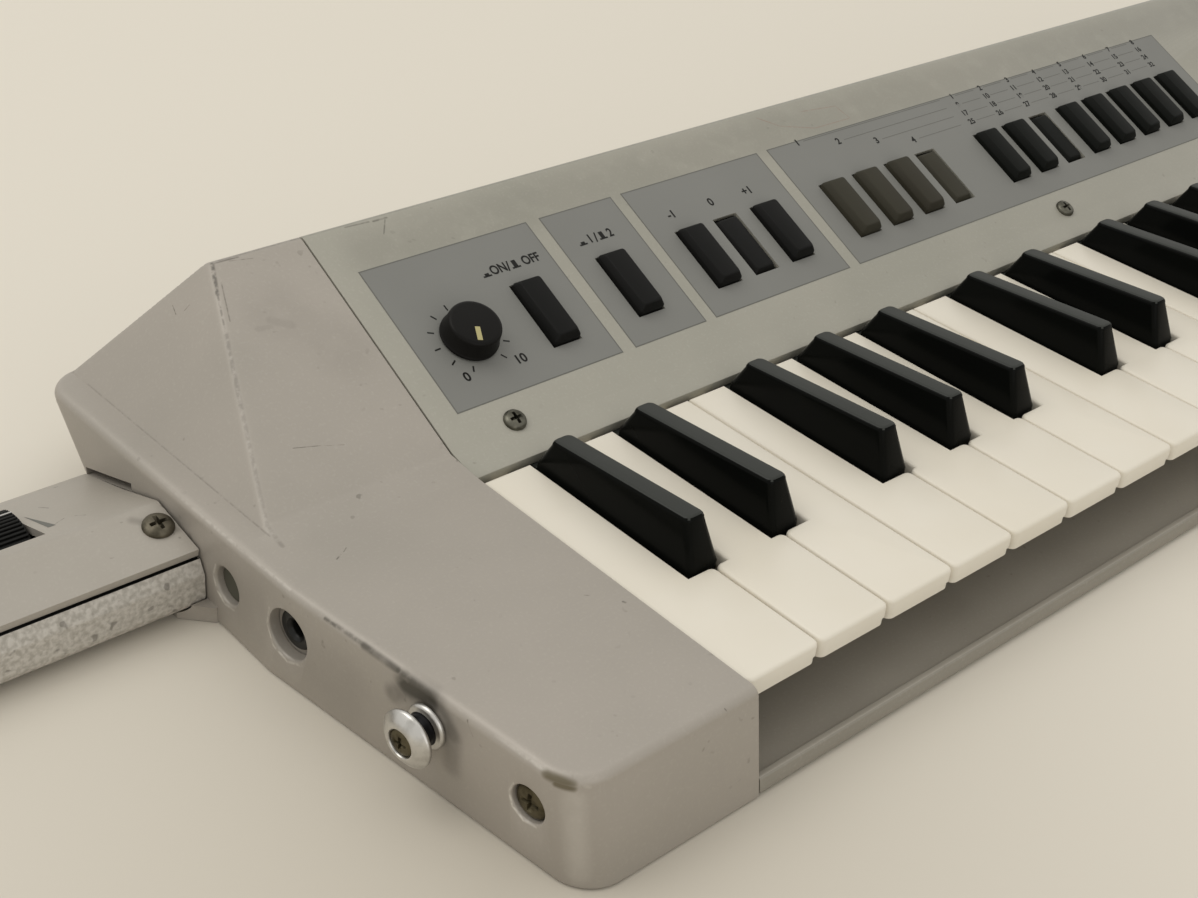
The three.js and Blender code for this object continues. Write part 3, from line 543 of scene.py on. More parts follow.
class Coat:
    """The nodes of one finish, with the steps that its pattern is made of."""

    def __init__(self, tree: Tree, shader: Any) -> None:
        """Keeps the tree and its shader."""
        self.tree = tree
        self.shader = shader

    def feed(self, socket: Any, value: Any) -> None:
        """Links a socket to another one, or gives it a hex colour or a plain value."""
        if isinstance(value, bpy.types.NodeSocket):
            self.tree.links.new(value, socket)
        else:
            socket.default_value = shade(value) if isinstance(value, str) else value

    def grain(self, size: float, detail: float = 2.0, stretch: Sequence[float] = (1, 1, 1)) -> Any:
        """Adds a noise on Object coordinates.

        Args:
            size: Real size of the grain in millimetres.
            detail: Octaves of the noise.
            stretch: How much longer the grain is along each axis.

        Returns:
            The noise's factor.
        """
        place = add(self.tree, "ShaderNodeTexCoord")
        scale = tuple(1 / (size * MM * s) for s in stretch)
        mapped = add(self.tree, "ShaderNodeMapping", {"Scale": scale}, {"Vector": place.outputs["Object"]})
        noise = add(self.tree, "ShaderNodeTexNoise", {"Scale": 1.0, "Detail": detail}, {"Vector": mapped})
        return noise.outputs["Fac"]

    def band(self, source: Any, low: float, high: float) -> Any:
        """Stretches a factor so that low becomes 0 and high becomes 1."""
        made = add(self.tree, "ShaderNodeMapRange", {"From Min": low, "From Max": high}, {"Value": source})
        return made.outputs["Result"]

    def blend(self, factor: Any, first: Any, second: Any) -> Any:
        """Mixes two colours, each a hex code or a socket."""
        node = add(self.tree, "ShaderNodeMix", {"data_type": "RGBA"}, {0: factor})
        self.feed(node.inputs[6], first)
        self.feed(node.inputs[7], second)
        return node.outputs[2]

    def times(self, first: Any, second: Any) -> Any:
        """Multiplies a factor by a number or another factor."""
        node = add(self.tree, "ShaderNodeMath", {"operation": "MULTIPLY"}, {0: first})
        self.feed(node.inputs[1], second)
        return node.outputs[0]

    def vary(self, source: Any, low: float, high: float) -> None:
        """Lets the roughness run between two values along a factor."""
        made = add(self.tree, "ShaderNodeMapRange", {"To Min": low, "To Max": high}, {"Value": source})
        self.tree.links.new(made.outputs["Result"], self.shader.inputs["Roughness"])

    def relief(self, source: Any, depth: float, strength: float) -> None:
        """Turns a factor into fine relief, its depth in millimetres."""
        settings = {"Strength": strength, "Distance": depth * MM}
        bump = add(self.tree, "ShaderNodeBump", settings, {"Height": source})
        self.tree.links.new(bump.outputs["Normal"], self.shader.inputs["Normal"])

    def paint(self, colour: Any) -> None:
        """Feeds the base colour."""
        self.tree.links.new(colour, self.shader.inputs["Base Color"])


@dataclass(frozen=True)
class Finish:
    """One real material and how its surface was made."""

    name: str
    colour: str
    roughness: float = 0.5
    metallic: float = 0.0
    gloss: float = 0.5

    def material(self) -> bpy.types.Material:
        """Returns the material, made on first use."""
        found = bpy.data.materials.get(self.name)
        if found:
            return found
        made = bpy.data.materials.new(self.name)
        made.use_nodes = True
        tree = made.node_tree
        tree.nodes.clear()
        shader = add(tree, "ShaderNodeBsdfPrincipled",
                     {"Base Color": shade(self.colour), "Roughness": self.roughness,
                      "Metallic": self.metallic, "Specular IOR Level": self.gloss})
        add(tree, "ShaderNodeOutputMaterial", links={"Surface": shader})
        self.detail(Coat(tree, shader))
        return made

    def detail(self, coat: Coat) -> None:
        """Adds the pattern of the surface."""


@dataclass(frozen=True)
class Streak:
    """A streak of colour that runs between two places of the keyboard's own frame; streaks stand for wear,
    dirt, painted shade and painted highlights.
    """

    start: Triple
    stop: Triple
    width: float
    strength: float


def streak_rows(*rows: Sequence[float]) -> tuple[Streak, ...]:
    """Makes streaks of rows with a start, a stop, a width and a strength.

    Args:
        rows: The rows. One without a start goes on from the stop of the row before it.

    Returns:
        The streaks.
    """
    made: list[Streak] = []
    for row in rows:
        start = row[:3] if len(row) == 8 else made[-1].stop
        made.append(Streak(start, row[-5:-2], row[-2], row[-1]))
    return tuple(made)


def streak_group() -> Tree:
    """Returns the node group that finds how much of a streak lies on a place, made on first use."""
    found = bpy.data.node_groups.get("streak")
    if found:
        return found
    tree = bpy.data.node_groups.new("streak", "ShaderNodeTree")
    face = tree.interface
    for label, kind in (("Place", "Vector"), ("Start", "Vector"), ("Run", "Vector"), ("Share", "Float"),
                        ("Reach", "Float"), ("Strength", "Float"), ("Before", "Float")):
        face.new_socket(label, in_out="INPUT", socket_type=f"NodeSocket{kind}")
    face.new_socket("Amount", in_out="OUTPUT", socket_type="NodeSocketFloat")
    given = add(tree, "NodeGroupInput").outputs
    away = add(tree, "ShaderNodeVectorMath", {"operation": "SUBTRACT"},
               {0: given["Place"], 1: given["Start"]})
    along = add(tree, "ShaderNodeVectorMath", {"operation": "DOT_PRODUCT"}, {0: away, 1: given["Run"]})
    share = add(tree, "ShaderNodeMath", {"operation": "MULTIPLY", "use_clamp": True},
                {0: along.outputs["Value"], 1: given["Share"]})
    near = add(tree, "ShaderNodeVectorMath", {"operation": "SCALE"}, {0: given["Run"], "Scale": share})
    gap = add(tree, "ShaderNodeVectorMath", {"operation": "DISTANCE"}, {0: away, 1: near})
    part = add(tree, "ShaderNodeMath", {"operation": "DIVIDE"}, {0: gap.outputs["Value"], 1: given["Reach"]})
    # Full over the inner fifth of the reach, then fading out
    fade = add(tree, "ShaderNodeMapRange",
               {"interpolation_type": "SMOOTHSTEP", "From Min": 1.0, "From Max": 0.2}, {"Value": part})
    amount = add(tree, "ShaderNodeMath", {"operation": "MULTIPLY"}, {0: fade, 1: given["Strength"]})
    most = add(tree, "ShaderNodeMath", {"operation": "MAXIMUM"}, {0: amount, 1: given["Before"]})
    add(tree, "NodeGroupOutput", links={"Amount": most})
    return tree


# Places of wear, dirt, painted shade and painted highlights in millimetres, measured on the photograph
CAP_DIRT_AND_SHADE = streak_rows(
    (-16, 52, 44.6, -8, 40, 38.9, 24, 0.1), (-22.8, 66.6, 51.4, -25.9, 59.5, 48, 1.5, 0.8),
    (-29.5, 50.5, 43.8, 0.9, 0.6), (-23.6, 61.6, 49.1, -27, 52.8, 45, 0.5, 0.5),
    (-29.5, 50.5, 43.8, -36, 34.3, 36, 1.6, 0.45), (-42.2, 18.6, 28.6, 1.5, 0.35),
    (-45.4, 10.3, 24.8, 1.5, 0.3), (-46, 3.8, 23.8, 1.5, 0.3),
    (-22.4, 66.5, 51.2, -16.5, 66.4, 51.3, 0.8, 0.6), (-19, 66, 51.1, -14.8, 65.3, 50.8, 0.4, 0.8),
    (-13.6, 65.1, 50.7, 0.4, 0.8), (-22, 67, 51.4, -0.6, 67, 51.4, 1, 0.35),
    (-31.9, 66.8, 41.6, -31.2, 69.3, 42.4, 0.35, 0.8),
    (-30.8, 65.2, 42.9, -29.7, 64.9, 44.1, 0.35, 0.7), (-22.4, 49.3, 43.3, -19.5, 49, 43.1, 2.6, 0.18),
    (-18.5, 50.3, 43.8, -15, 48, 42.7, 4.6, 0.2), (-31.1, 22.9, 30.7, -26, 21.6, 30.1, 0.3, 0.7),
    (-20.5, 19.9, 29.3, 0.25, 0.6), (-39.8, -5.6, 23.8, -38.4, -4.8, 23.8, 0.5, 0.7),
    (-37.4, -4.4, 23.8, -36.3, -3.6, 23.8, 0.35, 0.6), (-3.4, -47.8, 23.8, -3.2, -48.2, 23.8, 0.8, 0.8),
    # The line from (-48, 77.9) to (-46.2, 8) along the hump's foot is painted shade in the crease
    (-8.1, -42, 23.8, -7.4, -42.6, 23.8, 0.5, 0.5), (-48, 77.9, 23.8, -46.2, 8, 23.8, 0.7, 0.3),
    (-51.3, -18.5, 23, -50.9, -21.5, 23, 1.2, 0.7), (-50.9, -21.5, 23.2, -49.6, -31, 23, 1.4, 0.5),
    (-49.9, -29, 22.9, -48.7, -38, 22.7, 2.2, 0.75), (-47.6, -46.5, 22.5, 1.6, 0.55),
    (-48.9, -37, 16.8, -48.5, -40.5, 20, 6, 0.5), (-48.7, -40.2, 20.8, -47.8, -46.8, 21.2, 7.5, 1),
    (-53.2, 40, 10, -50.5, -24, 11, 24, 0.16), (-47.6, -48.2, 21.4, -47.1, -52.4, 17, 6.5, 0.55),
    (-47.2, -52.4, 17, -47.1, -52.2, 9.5, 7, 0.35), (-46.7, -55.6, 22.6, -46.5, -57.2, 20, 0.6, 0.7),
    (-48.4, -41, 7, -48.2, -42, 6, 0.8, 0.4), (-8.6, -80.6, 23.2, -8, -80.9, 22, 0.4, 0.8),
    (-8, -83.6, 6, -5, -83.8, 6.5, 0.5, 0.4), (-53.4, 62, 6, -53.6, 70, 6, 3, 0.25),
    (-53.3, 24, 6, -53.3, 26, 16, 3, 0.35),
)
CAP_BARE = streak_rows(
    (-44.7, -74, 22.8, -42.6, -78.6, 22.7, 3, 1), (-43.8, -76, 21.8, -42.4, -78.8, 21.6, 2.2, 1),
)
# Painted highlights: bright crescents on the rims of the plug, jack and screw holes, and bright bands along
# the top edges and down the front corner
CAP_PAINTED_HIGHLIGHTS = streak_rows(
    (-53.4, 10.4, 7.2, -53.4, 13.8, 6.6, 0.8, 0.54), (-53.4, 16.7, 8.3, 0.8, 0.90),
    (-53.4, 17.9, 11.5, 0.8, 0.90), (-53.4, 16.7, 14.7, 0.8, 0.54),
    (-52.3, -12, 7.6, -52.8, -7.8, 6.1, 0.8, 0.45), (-53.2, -3.6, 7.6, 0.8, 0.75),
    (-53.1, -1.4, 11.5, 0.8, 0.75), (-53, -2.2, 15.8, 0.8, 0.45),
    (-44.5, -72.7, 9.3, -44.8, -69.7, 8.8, 0.7, 0.48), (-45.2, -67.1, 10.3, 0.7, 0.80),
    (-45.4, -66.1, 13.1, 0.7, 0.80), (-45.4, -67.1, 15.9, 0.7, 0.48),
    (-46, -62, 23.4, -44.4, -73.5, 23.2, 1.3, 0.55), (-41.8, -79.7, 22.4, -40.2, -80.7, 22, 1.8, 1),
    (-43, -79.6, 19, -42.6, -82, 4, 7.5, 0.3), (-52.6, 8, 23.2, -53.8, 70, 22.6, 1, 0.35),
    (-51.9, -8, 23.3, -52.8, 8, 23.3, 1, 0.3), (-47, -52, 23.4, -46, -62, 23.4, 0.9, 0.3),
)
# Darker streaks on the panel: a wide band under the ridge, a line along the ridge, small marks near the left
# end
PANEL_DARK_MARKS = streak_rows(
    (14, 59, 47.9, 440, 59, 47.9, 22, 0.17), (11.2, 66.3, 51.2, 17.5, 66, 51.2, 0.7, 0.5),
    (18.6, 65.8, 51.1, 22.4, 65.8, 51.1, 0.8, 0.6), (21.6, 65.4, 50.9, 19, 62.1, 49.4, 0.5, 0.6),
    (0, 67, 51.4, 440, 67, 51.4, 0.9, 0.22),
)
SQUIGGLE = streak_rows(
    (143.8, 64.6, 50.6, 149, 60.5, 48.6, 0.5, 0.6), (159.8, 57.1, 47, 0.5, 0.5),
    (174.2, 57, 47, 0.5, 0.45), (172.6, 61.7, 49.2, 0.5, 0.5),
    (159.3, 62.9, 49.8, 0.5, 0.45),
)
NECK_DIRT_AND_SEAM_SHADE = streak_rows(
    # The line along the cover's edge at the cap, from y 43 down to 23, is painted shade in the seam
    (-61.5, 34.6, 19, -55, 28.6, 17.6, 3.6, 0.45), (-54.4, 43, 16.6, -54.2, 33, 19, 0.9, 0.8),
    (-54.4, 23, 16, 0.9, 0.9), (-70.5, 58.5, 11.2, -69.5, 56, 12.1, 0.5, 0.7),
    (-74, 44.6, 16.1, -70.5, 46.6, 15.4, 0.4, 0.7), (-68.5, 45.8, 15.7, -67, 44, 16.3, 0.4, 0.7),
)


@dataclass(frozen=True)
class SprayedSilver(Finish):
    """Silver lacquer sprayed on moulded ABS or sheet: fine flakes, a little cloudy, with dirt specks, and
    streaks of wear, dirt, painted shade and painted highlights.

    The sizes of its patterns are millimetres.
    """

    cloud: str = "97928a"
    flake: str = "c9c4ba"
    # Light tone of the painted highlights
    highlight_tone: str = "d0cbc2"
    # Dark tone of dirt and of painted shade
    dirt_and_shade_tone: str = "46423a"
    dirt: str = "5e5a50"
    specks: float = 0.0
    # Dark streaks: dirt and wear, and painted shade in seams and creases
    dark_marks: tuple[Streak, ...] = ()
    # Streaks of painted highlight, in the highlight tone
    painted_highlights: tuple[Streak, ...] = ()
    stain: tuple[Streak, ...] = ()
    stain_tone: str = "8d6f63"
    cloud_size: float = 38.0
    flake_size: float = 0.7
    speck_size: float = 2.2
    speck_field: float = 24.0
    frayed_size: float = 1.3
    wide_edge_size: float = 6.0
    wide_streak_width: float = 2.0
    handled_size: float = 15.0

    def streaked(self, coat: Coat, streaks: Sequence[Streak], ragged: Any) -> Any:
        """Adds streaks one after the other: wear, dirt, painted shade and painted highlights.

        Args:
            coat: The nodes of the finish.
            streaks: The streaks.
            ragged: A noise that breaks up their edges.

        Returns:
            How much of any streak lies on each place.
        """
        place = add(coat.tree, "ShaderNodeTexCoord").outputs["Object"]
        before = 0.0
        for streak in streaks:
            start, stop = DATUM.at(*streak.start), DATUM.at(*streak.stop)
            run = stop - start
            node = add(coat.tree, "ShaderNodeGroup", {"node_tree": streak_group()})
            for label, value in (("Place", place), ("Start", start), ("Run", run),
                                 ("Share", 1 / run.length_squared), ("Reach", streak.width * MM / 2),
                                 ("Strength", streak.strength), ("Before", before)):
                coat.feed(node.inputs[label], value)
            before = node.outputs["Amount"]
        return coat.times(before, ragged)

    def detail(self, coat: Coat) -> None:
        """Adds the cloudy tone, the flakes, the specks, and the streaks of wear, dirt, painted shade and
        painted highlights.
        """
        cloudy = coat.band(coat.grain(self.cloud_size, 3.0), 0.3, 0.7)
        base = coat.blend(cloudy, self.colour, self.cloud)
        # Real flakes are finer, and are drawn larger so that they still show
        flakes = coat.grain(self.flake_size, 1.0)
        glints = coat.times(coat.band(flakes, 0.55, 0.8), 0.10)
        base = coat.blend(glints, base, self.flake)
        if self.specks > 0:
            speck = coat.band(coat.grain(self.speck_size, 1.0), 0.72, 0.78)
            patches = coat.band(coat.grain(self.speck_field, 2.0), 0.45, 0.65)
            dots = coat.times(coat.times(speck, patches), self.specks)
            base = coat.blend(dots, base, self.dirt)
        frayed = coat.band(coat.grain(self.frayed_size, 4.0), 0.3, 0.55)
        wide_edge = coat.band(coat.grain(self.wide_edge_size, 3.0), 0.05, 0.5)
        # Painted highlights in the light tone, dirt and painted shade in the dark tone, chips and stains in
        # the stain tone
        layers = ((self.painted_highlights, self.highlight_tone), (self.dark_marks, self.dirt_and_shade_tone), (self.stain, self.stain_tone))
        for streaks, tone in layers:
            for wide, edge in ((True, wide_edge), (False, frayed)):
                chosen = [streak for streak in streaks if (streak.width > self.wide_streak_width) is wide]
                if chosen:
                    base = coat.blend(self.streaked(coat, chosen, edge), base, tone)
        coat.paint(base)
        handled = coat.grain(self.handled_size, 4.0)
        coat.vary(handled, self.roughness - 0.07, self.roughness + 0.08)
        coat.relief(flakes, 0.03, 0.12)


@dataclass(frozen=True)
class SpatterCoat(Finish):
    """Spatter lacquer on the grip: coarse raised drops, painted lighter on their tops and darker in the pits
    between them.
    """

    # Painted shade in the pits between the drops
    pit_shade: str = "847d74"
    dark_marks: str = "55504a"
    drop_size: float = 1.1
    grime_size: float = 2.6

    def detail(self, coat: Coat) -> None:
        """Adds the drops, their painted light and shade, and their relief."""
        drops = coat.grain(self.drop_size, 2.0)
        # The drops' tone follows their relief: painted shade in the pits, painted light on the tops
        tone = coat.band(drops, 0.36, 0.62)
        base = coat.blend(tone, self.pit_shade, self.colour)
        dark = coat.band(coat.grain(self.grime_size, 1.0), 0.7, 0.76)
        base = coat.blend(coat.times(dark, 0.5), base, self.dark_marks)
        coat.paint(base)
        coat.relief(drops, 0.25, 0.8)


@dataclass(frozen=True)
class Moulding(Finish):
    """Injection-moulded plastic with a fine die texture and a slight unevenness of tone."""

    second: str = ""
    texture: float = 0.35
    relief: float = 0.02
    patch: float = 30.0
    handled_size: float = 9.0

    def detail(self, coat: Coat) -> None:
        """Adds the tone and the die texture."""
        if self.second:
            tone = coat.band(coat.grain(self.patch, 3.0), 0.3, 0.7)
            coat.paint(coat.blend(tone, self.colour, self.second))
        fine = coat.grain(self.texture, 2.0)
        handled = coat.grain(self.handled_size, 3.0)
        coat.vary(handled, self.roughness - 0.05, self.roughness + 0.06)
        coat.relief(fine, self.relief, 0.25)


@dataclass(frozen=True)
class TurnedMetal(Finish):
    """Turned and plated metal with faint tool marks and a dull film."""

    film: str = "8a8880"
    film_size: float = 2.5
    mark_size: float = 0.25
    mark_stretch: Triple = (0.3, 6, 6)

    def detail(self, coat: Coat) -> None:
        """Adds the film and the scratches of use."""
        film = coat.band(coat.grain(self.film_size, 3.0), 0.45, 0.75)
        coat.paint(coat.blend(film, self.colour, self.film))
        marks = coat.grain(self.mark_size, 2.0, self.mark_stretch)
        coat.vary(marks, self.roughness * 0.7, self.roughness * 1.5)


@dataclass(frozen=True)
class PaperSweep(Finish):
    """Matt paper under the instrument, with a painted shadow that darkens it in front of the left cap."""

    # Darkest tone, middle and reach of the painted shadow
    near: str = "c2bbae"
    middle: Triple = (-55.0, -75.0, 0.0)
    reach: float = 175.0
    tooth: float = 0.8

    def detail(self, coat: Coat) -> None:
        """Adds the painted shadow, which falls off away from the left cap, and the paper's tooth."""
        place = add(coat.tree, "ShaderNodeTexCoord")
        away = add(coat.tree, "ShaderNodeVectorMath", {"operation": "DISTANCE", 1: DATUM.at(*self.middle)},
                   {0: place.outputs["Object"]})
        # Painted shadow: full at the middle, gone at the reach
        fall = coat.band(away.outputs["Value"], self.reach * MM, 0.0)
        coat.paint(coat.blend(fall, self.colour, self.near))
        coat.relief(coat.grain(self.tooth, 2.0), 0.02, 0.2)


@dataclass(frozen=True)
class Palette:
    """All finishes of the instrument."""

    # The cap's light streaks are painted highlights, and its dark streaks include painted shade in the hump's
    # foot crease
    cap: Finish = SprayedSilver("silver_lacquer_on_moulded_abs", "a49d94", 0.42, 0.15, cloud="9c968d",
                                specks=0.5, dark_marks=CAP_DIRT_AND_SHADE, painted_highlights=CAP_PAINTED_HIGHLIGHTS, stain=CAP_BARE,
                                stain_tone="6a6250")
    panel: Finish = SprayedSilver("silver_lacquer_on_sheet", "9e9b90", 0.4, 0.15, cloud="97958a", specks=0.3,
                                  dark_marks=PANEL_DARK_MARKS, stain=SQUIGGLE)
    case: Finish = SprayedSilver("silver_lacquer_on_lower_case", "8f8a80", 0.45, 0.15, cloud="89847a",
                                 specks=0.6)
    # A lighter copy of the case's lacquer for its up-facing faces: painted light
    case_painted_light: Finish = SprayedSilver("silver_lacquer_painted_light_inside_case", "a59f94", 0.6, 0.1, cloud="9c968b",
                                      specks=0.6)
    # The neck's dark streaks include painted shade in the seam at the cap
    neck: Finish = SprayedSilver("silver_lacquer_on_neck", "a7a198", 0.45, 0.15, cloud="a09a90", specks=1.0,
                                 dark_marks=NECK_DIRT_AND_SEAM_SHADE)
    grip: Finish = SpatterCoat("spatter_lacquer_on_grip", "c4bfb7", 0.7, 0.05, pit_shade="a8a39a")
    ivory: Finish = Moulding("aged_ivory_abs", "e0dacd", 0.35, second="dcd5c6", relief=0.004, gloss=0.4)
    ebony: Finish = Moulding("glossy_black_abs", "0a0b0a", 0.16, second="0c0d0b", relief=0.003, gloss=0.05)
    ebony_top: Finish = Moulding("satin_black_abs", "353734", 0.4, second="313330", texture=0.5, relief=0.02,
                                 gloss=0.2)
    charcoal: Finish = Moulding("moulded_charcoal_abs", "121211", 0.42, second="0f0f0e", gloss=0.12)
    slate: Finish = Moulding("moulded_slate_abs", "0f110e", 0.45, second="0c0e0b", gloss=0.09)
    olive: Finish = Moulding("moulded_olive_abs", "38362c", 0.5, second="322f26", gloss=0.15)
    knob: Finish = Moulding("turned_knob_phenolic", "141311", 0.38, second="11100f", gloss=0.12)
    cream: Finish = Moulding("cream_index_paint", "b5ae80", 0.5, second="a89f70", gloss=0.2)
    rubbery: Finish = Moulding("black_wheel_nylon", "121211", 0.5, second="181816", gloss=0.2)
    jack: Finish = Moulding("black_jack_nylon", "121211", 0.35, second="161614", gloss=0.3)
    plug: Finish = Moulding("olive_plug_rubber", "56554c", 0.7, second="4c4b42", gloss=0.1)
    chrome: Finish = TurnedMetal("brushed_turned_aluminium", "cfcdc9", 0.3, 1.0, film="b0aea9")
    chrome_dark: Finish = TurnedMetal("tarnished_neck_steel", "2f2f31", 0.3, 1.0, film="1c1c1e")
    screw: Finish = TurnedMetal("passivated_steel_screw", "655e4b", 0.5, 1.0, film="3a3424")
    neck_screw: Finish = TurnedMetal("dull_zinc_screw", "6f695c", 0.5, 1.0, film="423e34")
    panel_screw: Finish = TurnedMetal("nickelled_screw", "6e6c62", 0.38, 1.0, film="3e3d34")
    bed: Finish = Moulding("coated_bed_steel", "3b3a36", 0.55, second="45443f", gloss=0.3)
    board: Finish = Moulding("phenolic_circuit_board", "4a4f2e", 0.55, second="53582f", gloss=0.3)
    field_ink: Finish = Moulding("grey_screen_print", "7c7c78", 0.5, second="787874", relief=0.004, gloss=0.3)
    line_ink: Finish = Moulding("dark_grey_screen_print", "676762", 0.5, gloss=0.2)
    ink: Finish = Moulding("black_screen_print", "161614", 0.5, gloss=0.2)
    ribbon: Finish = Moulding("ribbed_ribbon_rubber", "1c1c1a", 0.6, gloss=0.2)


INK = Palette()


# Studio


@dataclass
class Studio:
    """Floor, lights and the camera of the photograph."""

    eye: Triple = (-191.3, -229.2, 225.9)
    right: Triple = (0.7477, -0.6591, 0.0808)
    down: Triple = (-0.3085, -0.4525, -0.8367)
    ahead: Triple = (0.5880, 0.6007, -0.5417)
    focal_px: float = 1730.0
    width_px: float = 1198.0
    sensor: float = 36.0
    lamps: tuple[tuple[str, Triple, float, float], ...] = (
        ("window", (-0.9, 0.8, 1.85), 1.4, 12.0),
        ("ceiling", (0.3, 0.3, 2.2), 2.0, 4.0),
        ("front_fill", (-0.3, -1.5, 0.4), 1.2, 2.6),
    )
    daylight: str = "fffdf8"
    room: str = "f0eee9"
    room_light: float = 0.85
    floor_size: float = 12.0
    floor_drop: float = 0.0002

    def camera(self) -> None:
        """Sets the camera where the photograph was taken from."""
        data = bpy.data.cameras.new("camera")
        data.sensor_fit = "HORIZONTAL"
        data.sensor_width = self.sensor
        data.lens = self.focal_px / self.width_px * self.sensor
        data.clip_start = 0.01
        data.clip_end = 20.0
        made = stand("camera", data)
        turn = Matrix((self.right, [-c for c in self.down], [-c for c in self.ahead])).transposed()
        made.matrix_world = Matrix.Translation(DATUM.at(*self.eye)) @ turn.to_4x4()
        bpy.context.scene.camera = made

    def lamp(self, name: str, place: Triple, size: float, power: float) -> None:
        """Adds a soft square light, in metres and watts, that looks at the keyboard's middle."""
        data = bpy.data.lights.new(name, "AREA")
        data.size = size
        data.energy = power
        data.color = shade(self.daylight)[:3]
        made = stand(name, data)
        made.location = place
        made.rotation_euler = (-made.location).to_track_quat("-Z", "Y").to_euler()

    def build(self) -> None:
        """Makes floor, world, lights and camera."""
        bpy.ops.mesh.primitive_plane_add(size=self.floor_size, location=(0, 0, -self.floor_drop))
        floor = bpy.context.active_object
        floor.name = "floor"
        floor.data.materials.append(PaperSweep("matt_paper_sweep", "dcd6ca", 0.9).material())
        world = bpy.data.worlds.new("room")
        world.use_nodes = True
        bpy.context.scene.world = world
        back = world.node_tree.nodes["Background"]
        back.inputs["Color"].default_value = shade(self.room)
        back.inputs["Strength"].default_value = self.room_light
        for lamp in self.lamps:
            self.lamp(*lamp)
        self.camera()
        bpy.context.scene.view_settings.view_transform = "Standard"


# Keys


@dataclass
class Keyboard:
    """22 white and 15 black keys, each on its own body."""

    whites: int = 22
    pitch: float = 20.0
    plate: float = 3.0
    lip: float = 4.8
    lip_depth: float = 2.6
    corner: float = 1.6
    crown: float = 0.8
    parting: float = 0.25
    slot_length: float = 48.8
    slot_width: float = 10.8
    rib: float = 5.0
    rib_setback: float = 8.0
    tail: float = 44.0
    black_length: float = 48.2
    black_width: float = 8.3
    black_top: float = 5.6
    black_offset: float = 0.3
    rise_front: float = 10.2
    rise_rear: float = 6.8
    front_setback: float = 3.6
    rear_setback: float = 3.0
    black_edge: float = 1.4
    black_corner: float = 1.5
    satin_from: float = 0.72
    place_shares: tuple[float, ...] = (0.132, 0.3, 0.549, 0.714, 0.88)
    whites_before: tuple[int, ...] = (1, 2, 4, 5, 6)

    def slots(self) -> dict[int, float]:
        """Returns each slot's middle by the number of whites before it."""
        octave = 7 * self.pitch
        return {start * 7 + before: (start + share) * octave for start in range(3)
                for share, before in zip(self.place_shares, self.whites_before)}

    def rib_block(self, x: float, front: float) -> Solid:
        """Returns the rib that carries a key to its pivot."""
        half = self.rib / 2
        foot = KEY_TOP - self.plate - self.rib
        return Solid.box((x - half, -front, foot), (x + half, self.tail, KEY_TOP - self.plate + SEAM))

    def white(self, index: int) -> None:
        """Makes one white key with its front lip and rib."""
        slots = self.slots()
        left = index * self.pitch + KEY_GAP / 2
        right = (index + 1) * self.pitch - KEY_GAP / 2
        half = self.slot_width / 2
        rear_left = slots[index] + half if index in slots else left
        rear_right = slots[index + 1] - half if index + 1 in slots else right
        corners = [(left, -KEY_LENGTH), (right, -KEY_LENGTH)]
        radii = [self.corner, self.corner]
        if index + 1 in slots:
            corners += [(right, -self.slot_length), (rear_right, -self.slot_length)]
            radii += [self.corner, 0.0]
        corners += [(rear_right, 0.0), (rear_left, 0.0)]
        radii += [0.0, 0.0]
        if index in slots:
            corners += [(rear_left, -self.slot_length), (left, -self.slot_length)]
            radii += [0.0, self.corner]
        key = Solid.prism(rounded(corners, radii), KEY_TOP - self.plate, KEY_TOP, self.crown)
        back = -KEY_LENGTH + self.lip_depth
        front = -KEY_LENGTH + self.parting
        strip = rectangle(left + self.parting, right - self.parting, front, back)
        lip = Solid.prism(rounded(strip, [self.corner, self.corner, 0, 0]), KEY_TOP - self.lip,
                          KEY_TOP - self.plate + SEAM)
        key.fuse(lip, self.rib_block((rear_left + rear_right) / 2, KEY_LENGTH - self.rib_setback))
        name = f"white_key_{index + 1:02d}"
        key.dress(INK.ivory).settle(f"{name}_moulding", name, "ivory_key", [name])

    def black_ring(self, x: float, share: float, shrink: float, drop: float | None,
                   floor: float) -> list[Vector]:
        """Returns one level of a black key.

        Args:
            x: The key's middle.
            share: 0 at its foot and 1 at its top.
            shrink: How far the level is drawn in.
            drop: Depth below the sloping top, or None for a flat level.
            floor: Height of a flat level.

        Returns:
            The level's points.
        """
        half = self.black_width / 2 + (self.black_top - self.black_width) / 2 * share - shrink
        front = -self.black_length + self.front_setback * share + shrink
        rear = -SEAM - (self.rear_setback - SEAM) * share - shrink
        radius = self.black_corner - 0.4 * shrink
        ring = rounded(rectangle(x - half, x + half, front, rear), [radius] * 4, 4)
        first = -self.black_length + self.front_setback
        slope = (self.rise_rear - self.rise_front) / (-self.rear_setback - first)
        if drop is None:
            return [Vector((p.x, p.y, floor)) for p in ring]
        return [Vector((p.x, p.y, KEY_TOP + self.rise_front + slope * (p.y - first) - drop)) for p in ring]

    def black(self, index: int, x: float) -> None:
        """Makes one black key with glossy sides and a satin top."""
        foot = KEY_TOP - self.plate
        rings = [self.black_ring(x, 0.0, 0.0, None, foot), self.black_ring(x, 0.0, 0.0, None, KEY_TOP)]
        steps = 5
        for step in range(steps + 1):
            angle = pi / 2 * step / steps
            drop = self.black_edge * (1 - sin(angle))
            rings.append(self.black_ring(x, 1.0, self.black_edge * 0.8 * (1 - cos(angle)), drop, 0.0))
        key = Solid.loft(rings).fuse(self.rib_block(x, self.black_length - self.rib_setback))
        name = f"black_key_{index + 1:02d}"
        key.dress(INK.ebony, INK.ebony_top, pick=lambda _, normal: int(normal.z > self.satin_from))
        key.settle(f"{name}_moulding", name, "black_key", [name])

    def build(self) -> None:
        """Makes all keys."""
        for index in range(self.whites):
            self.white(index)
        for index, x in enumerate(self.slots().values()):
            self.black(index, x - self.black_offset)


# End caps


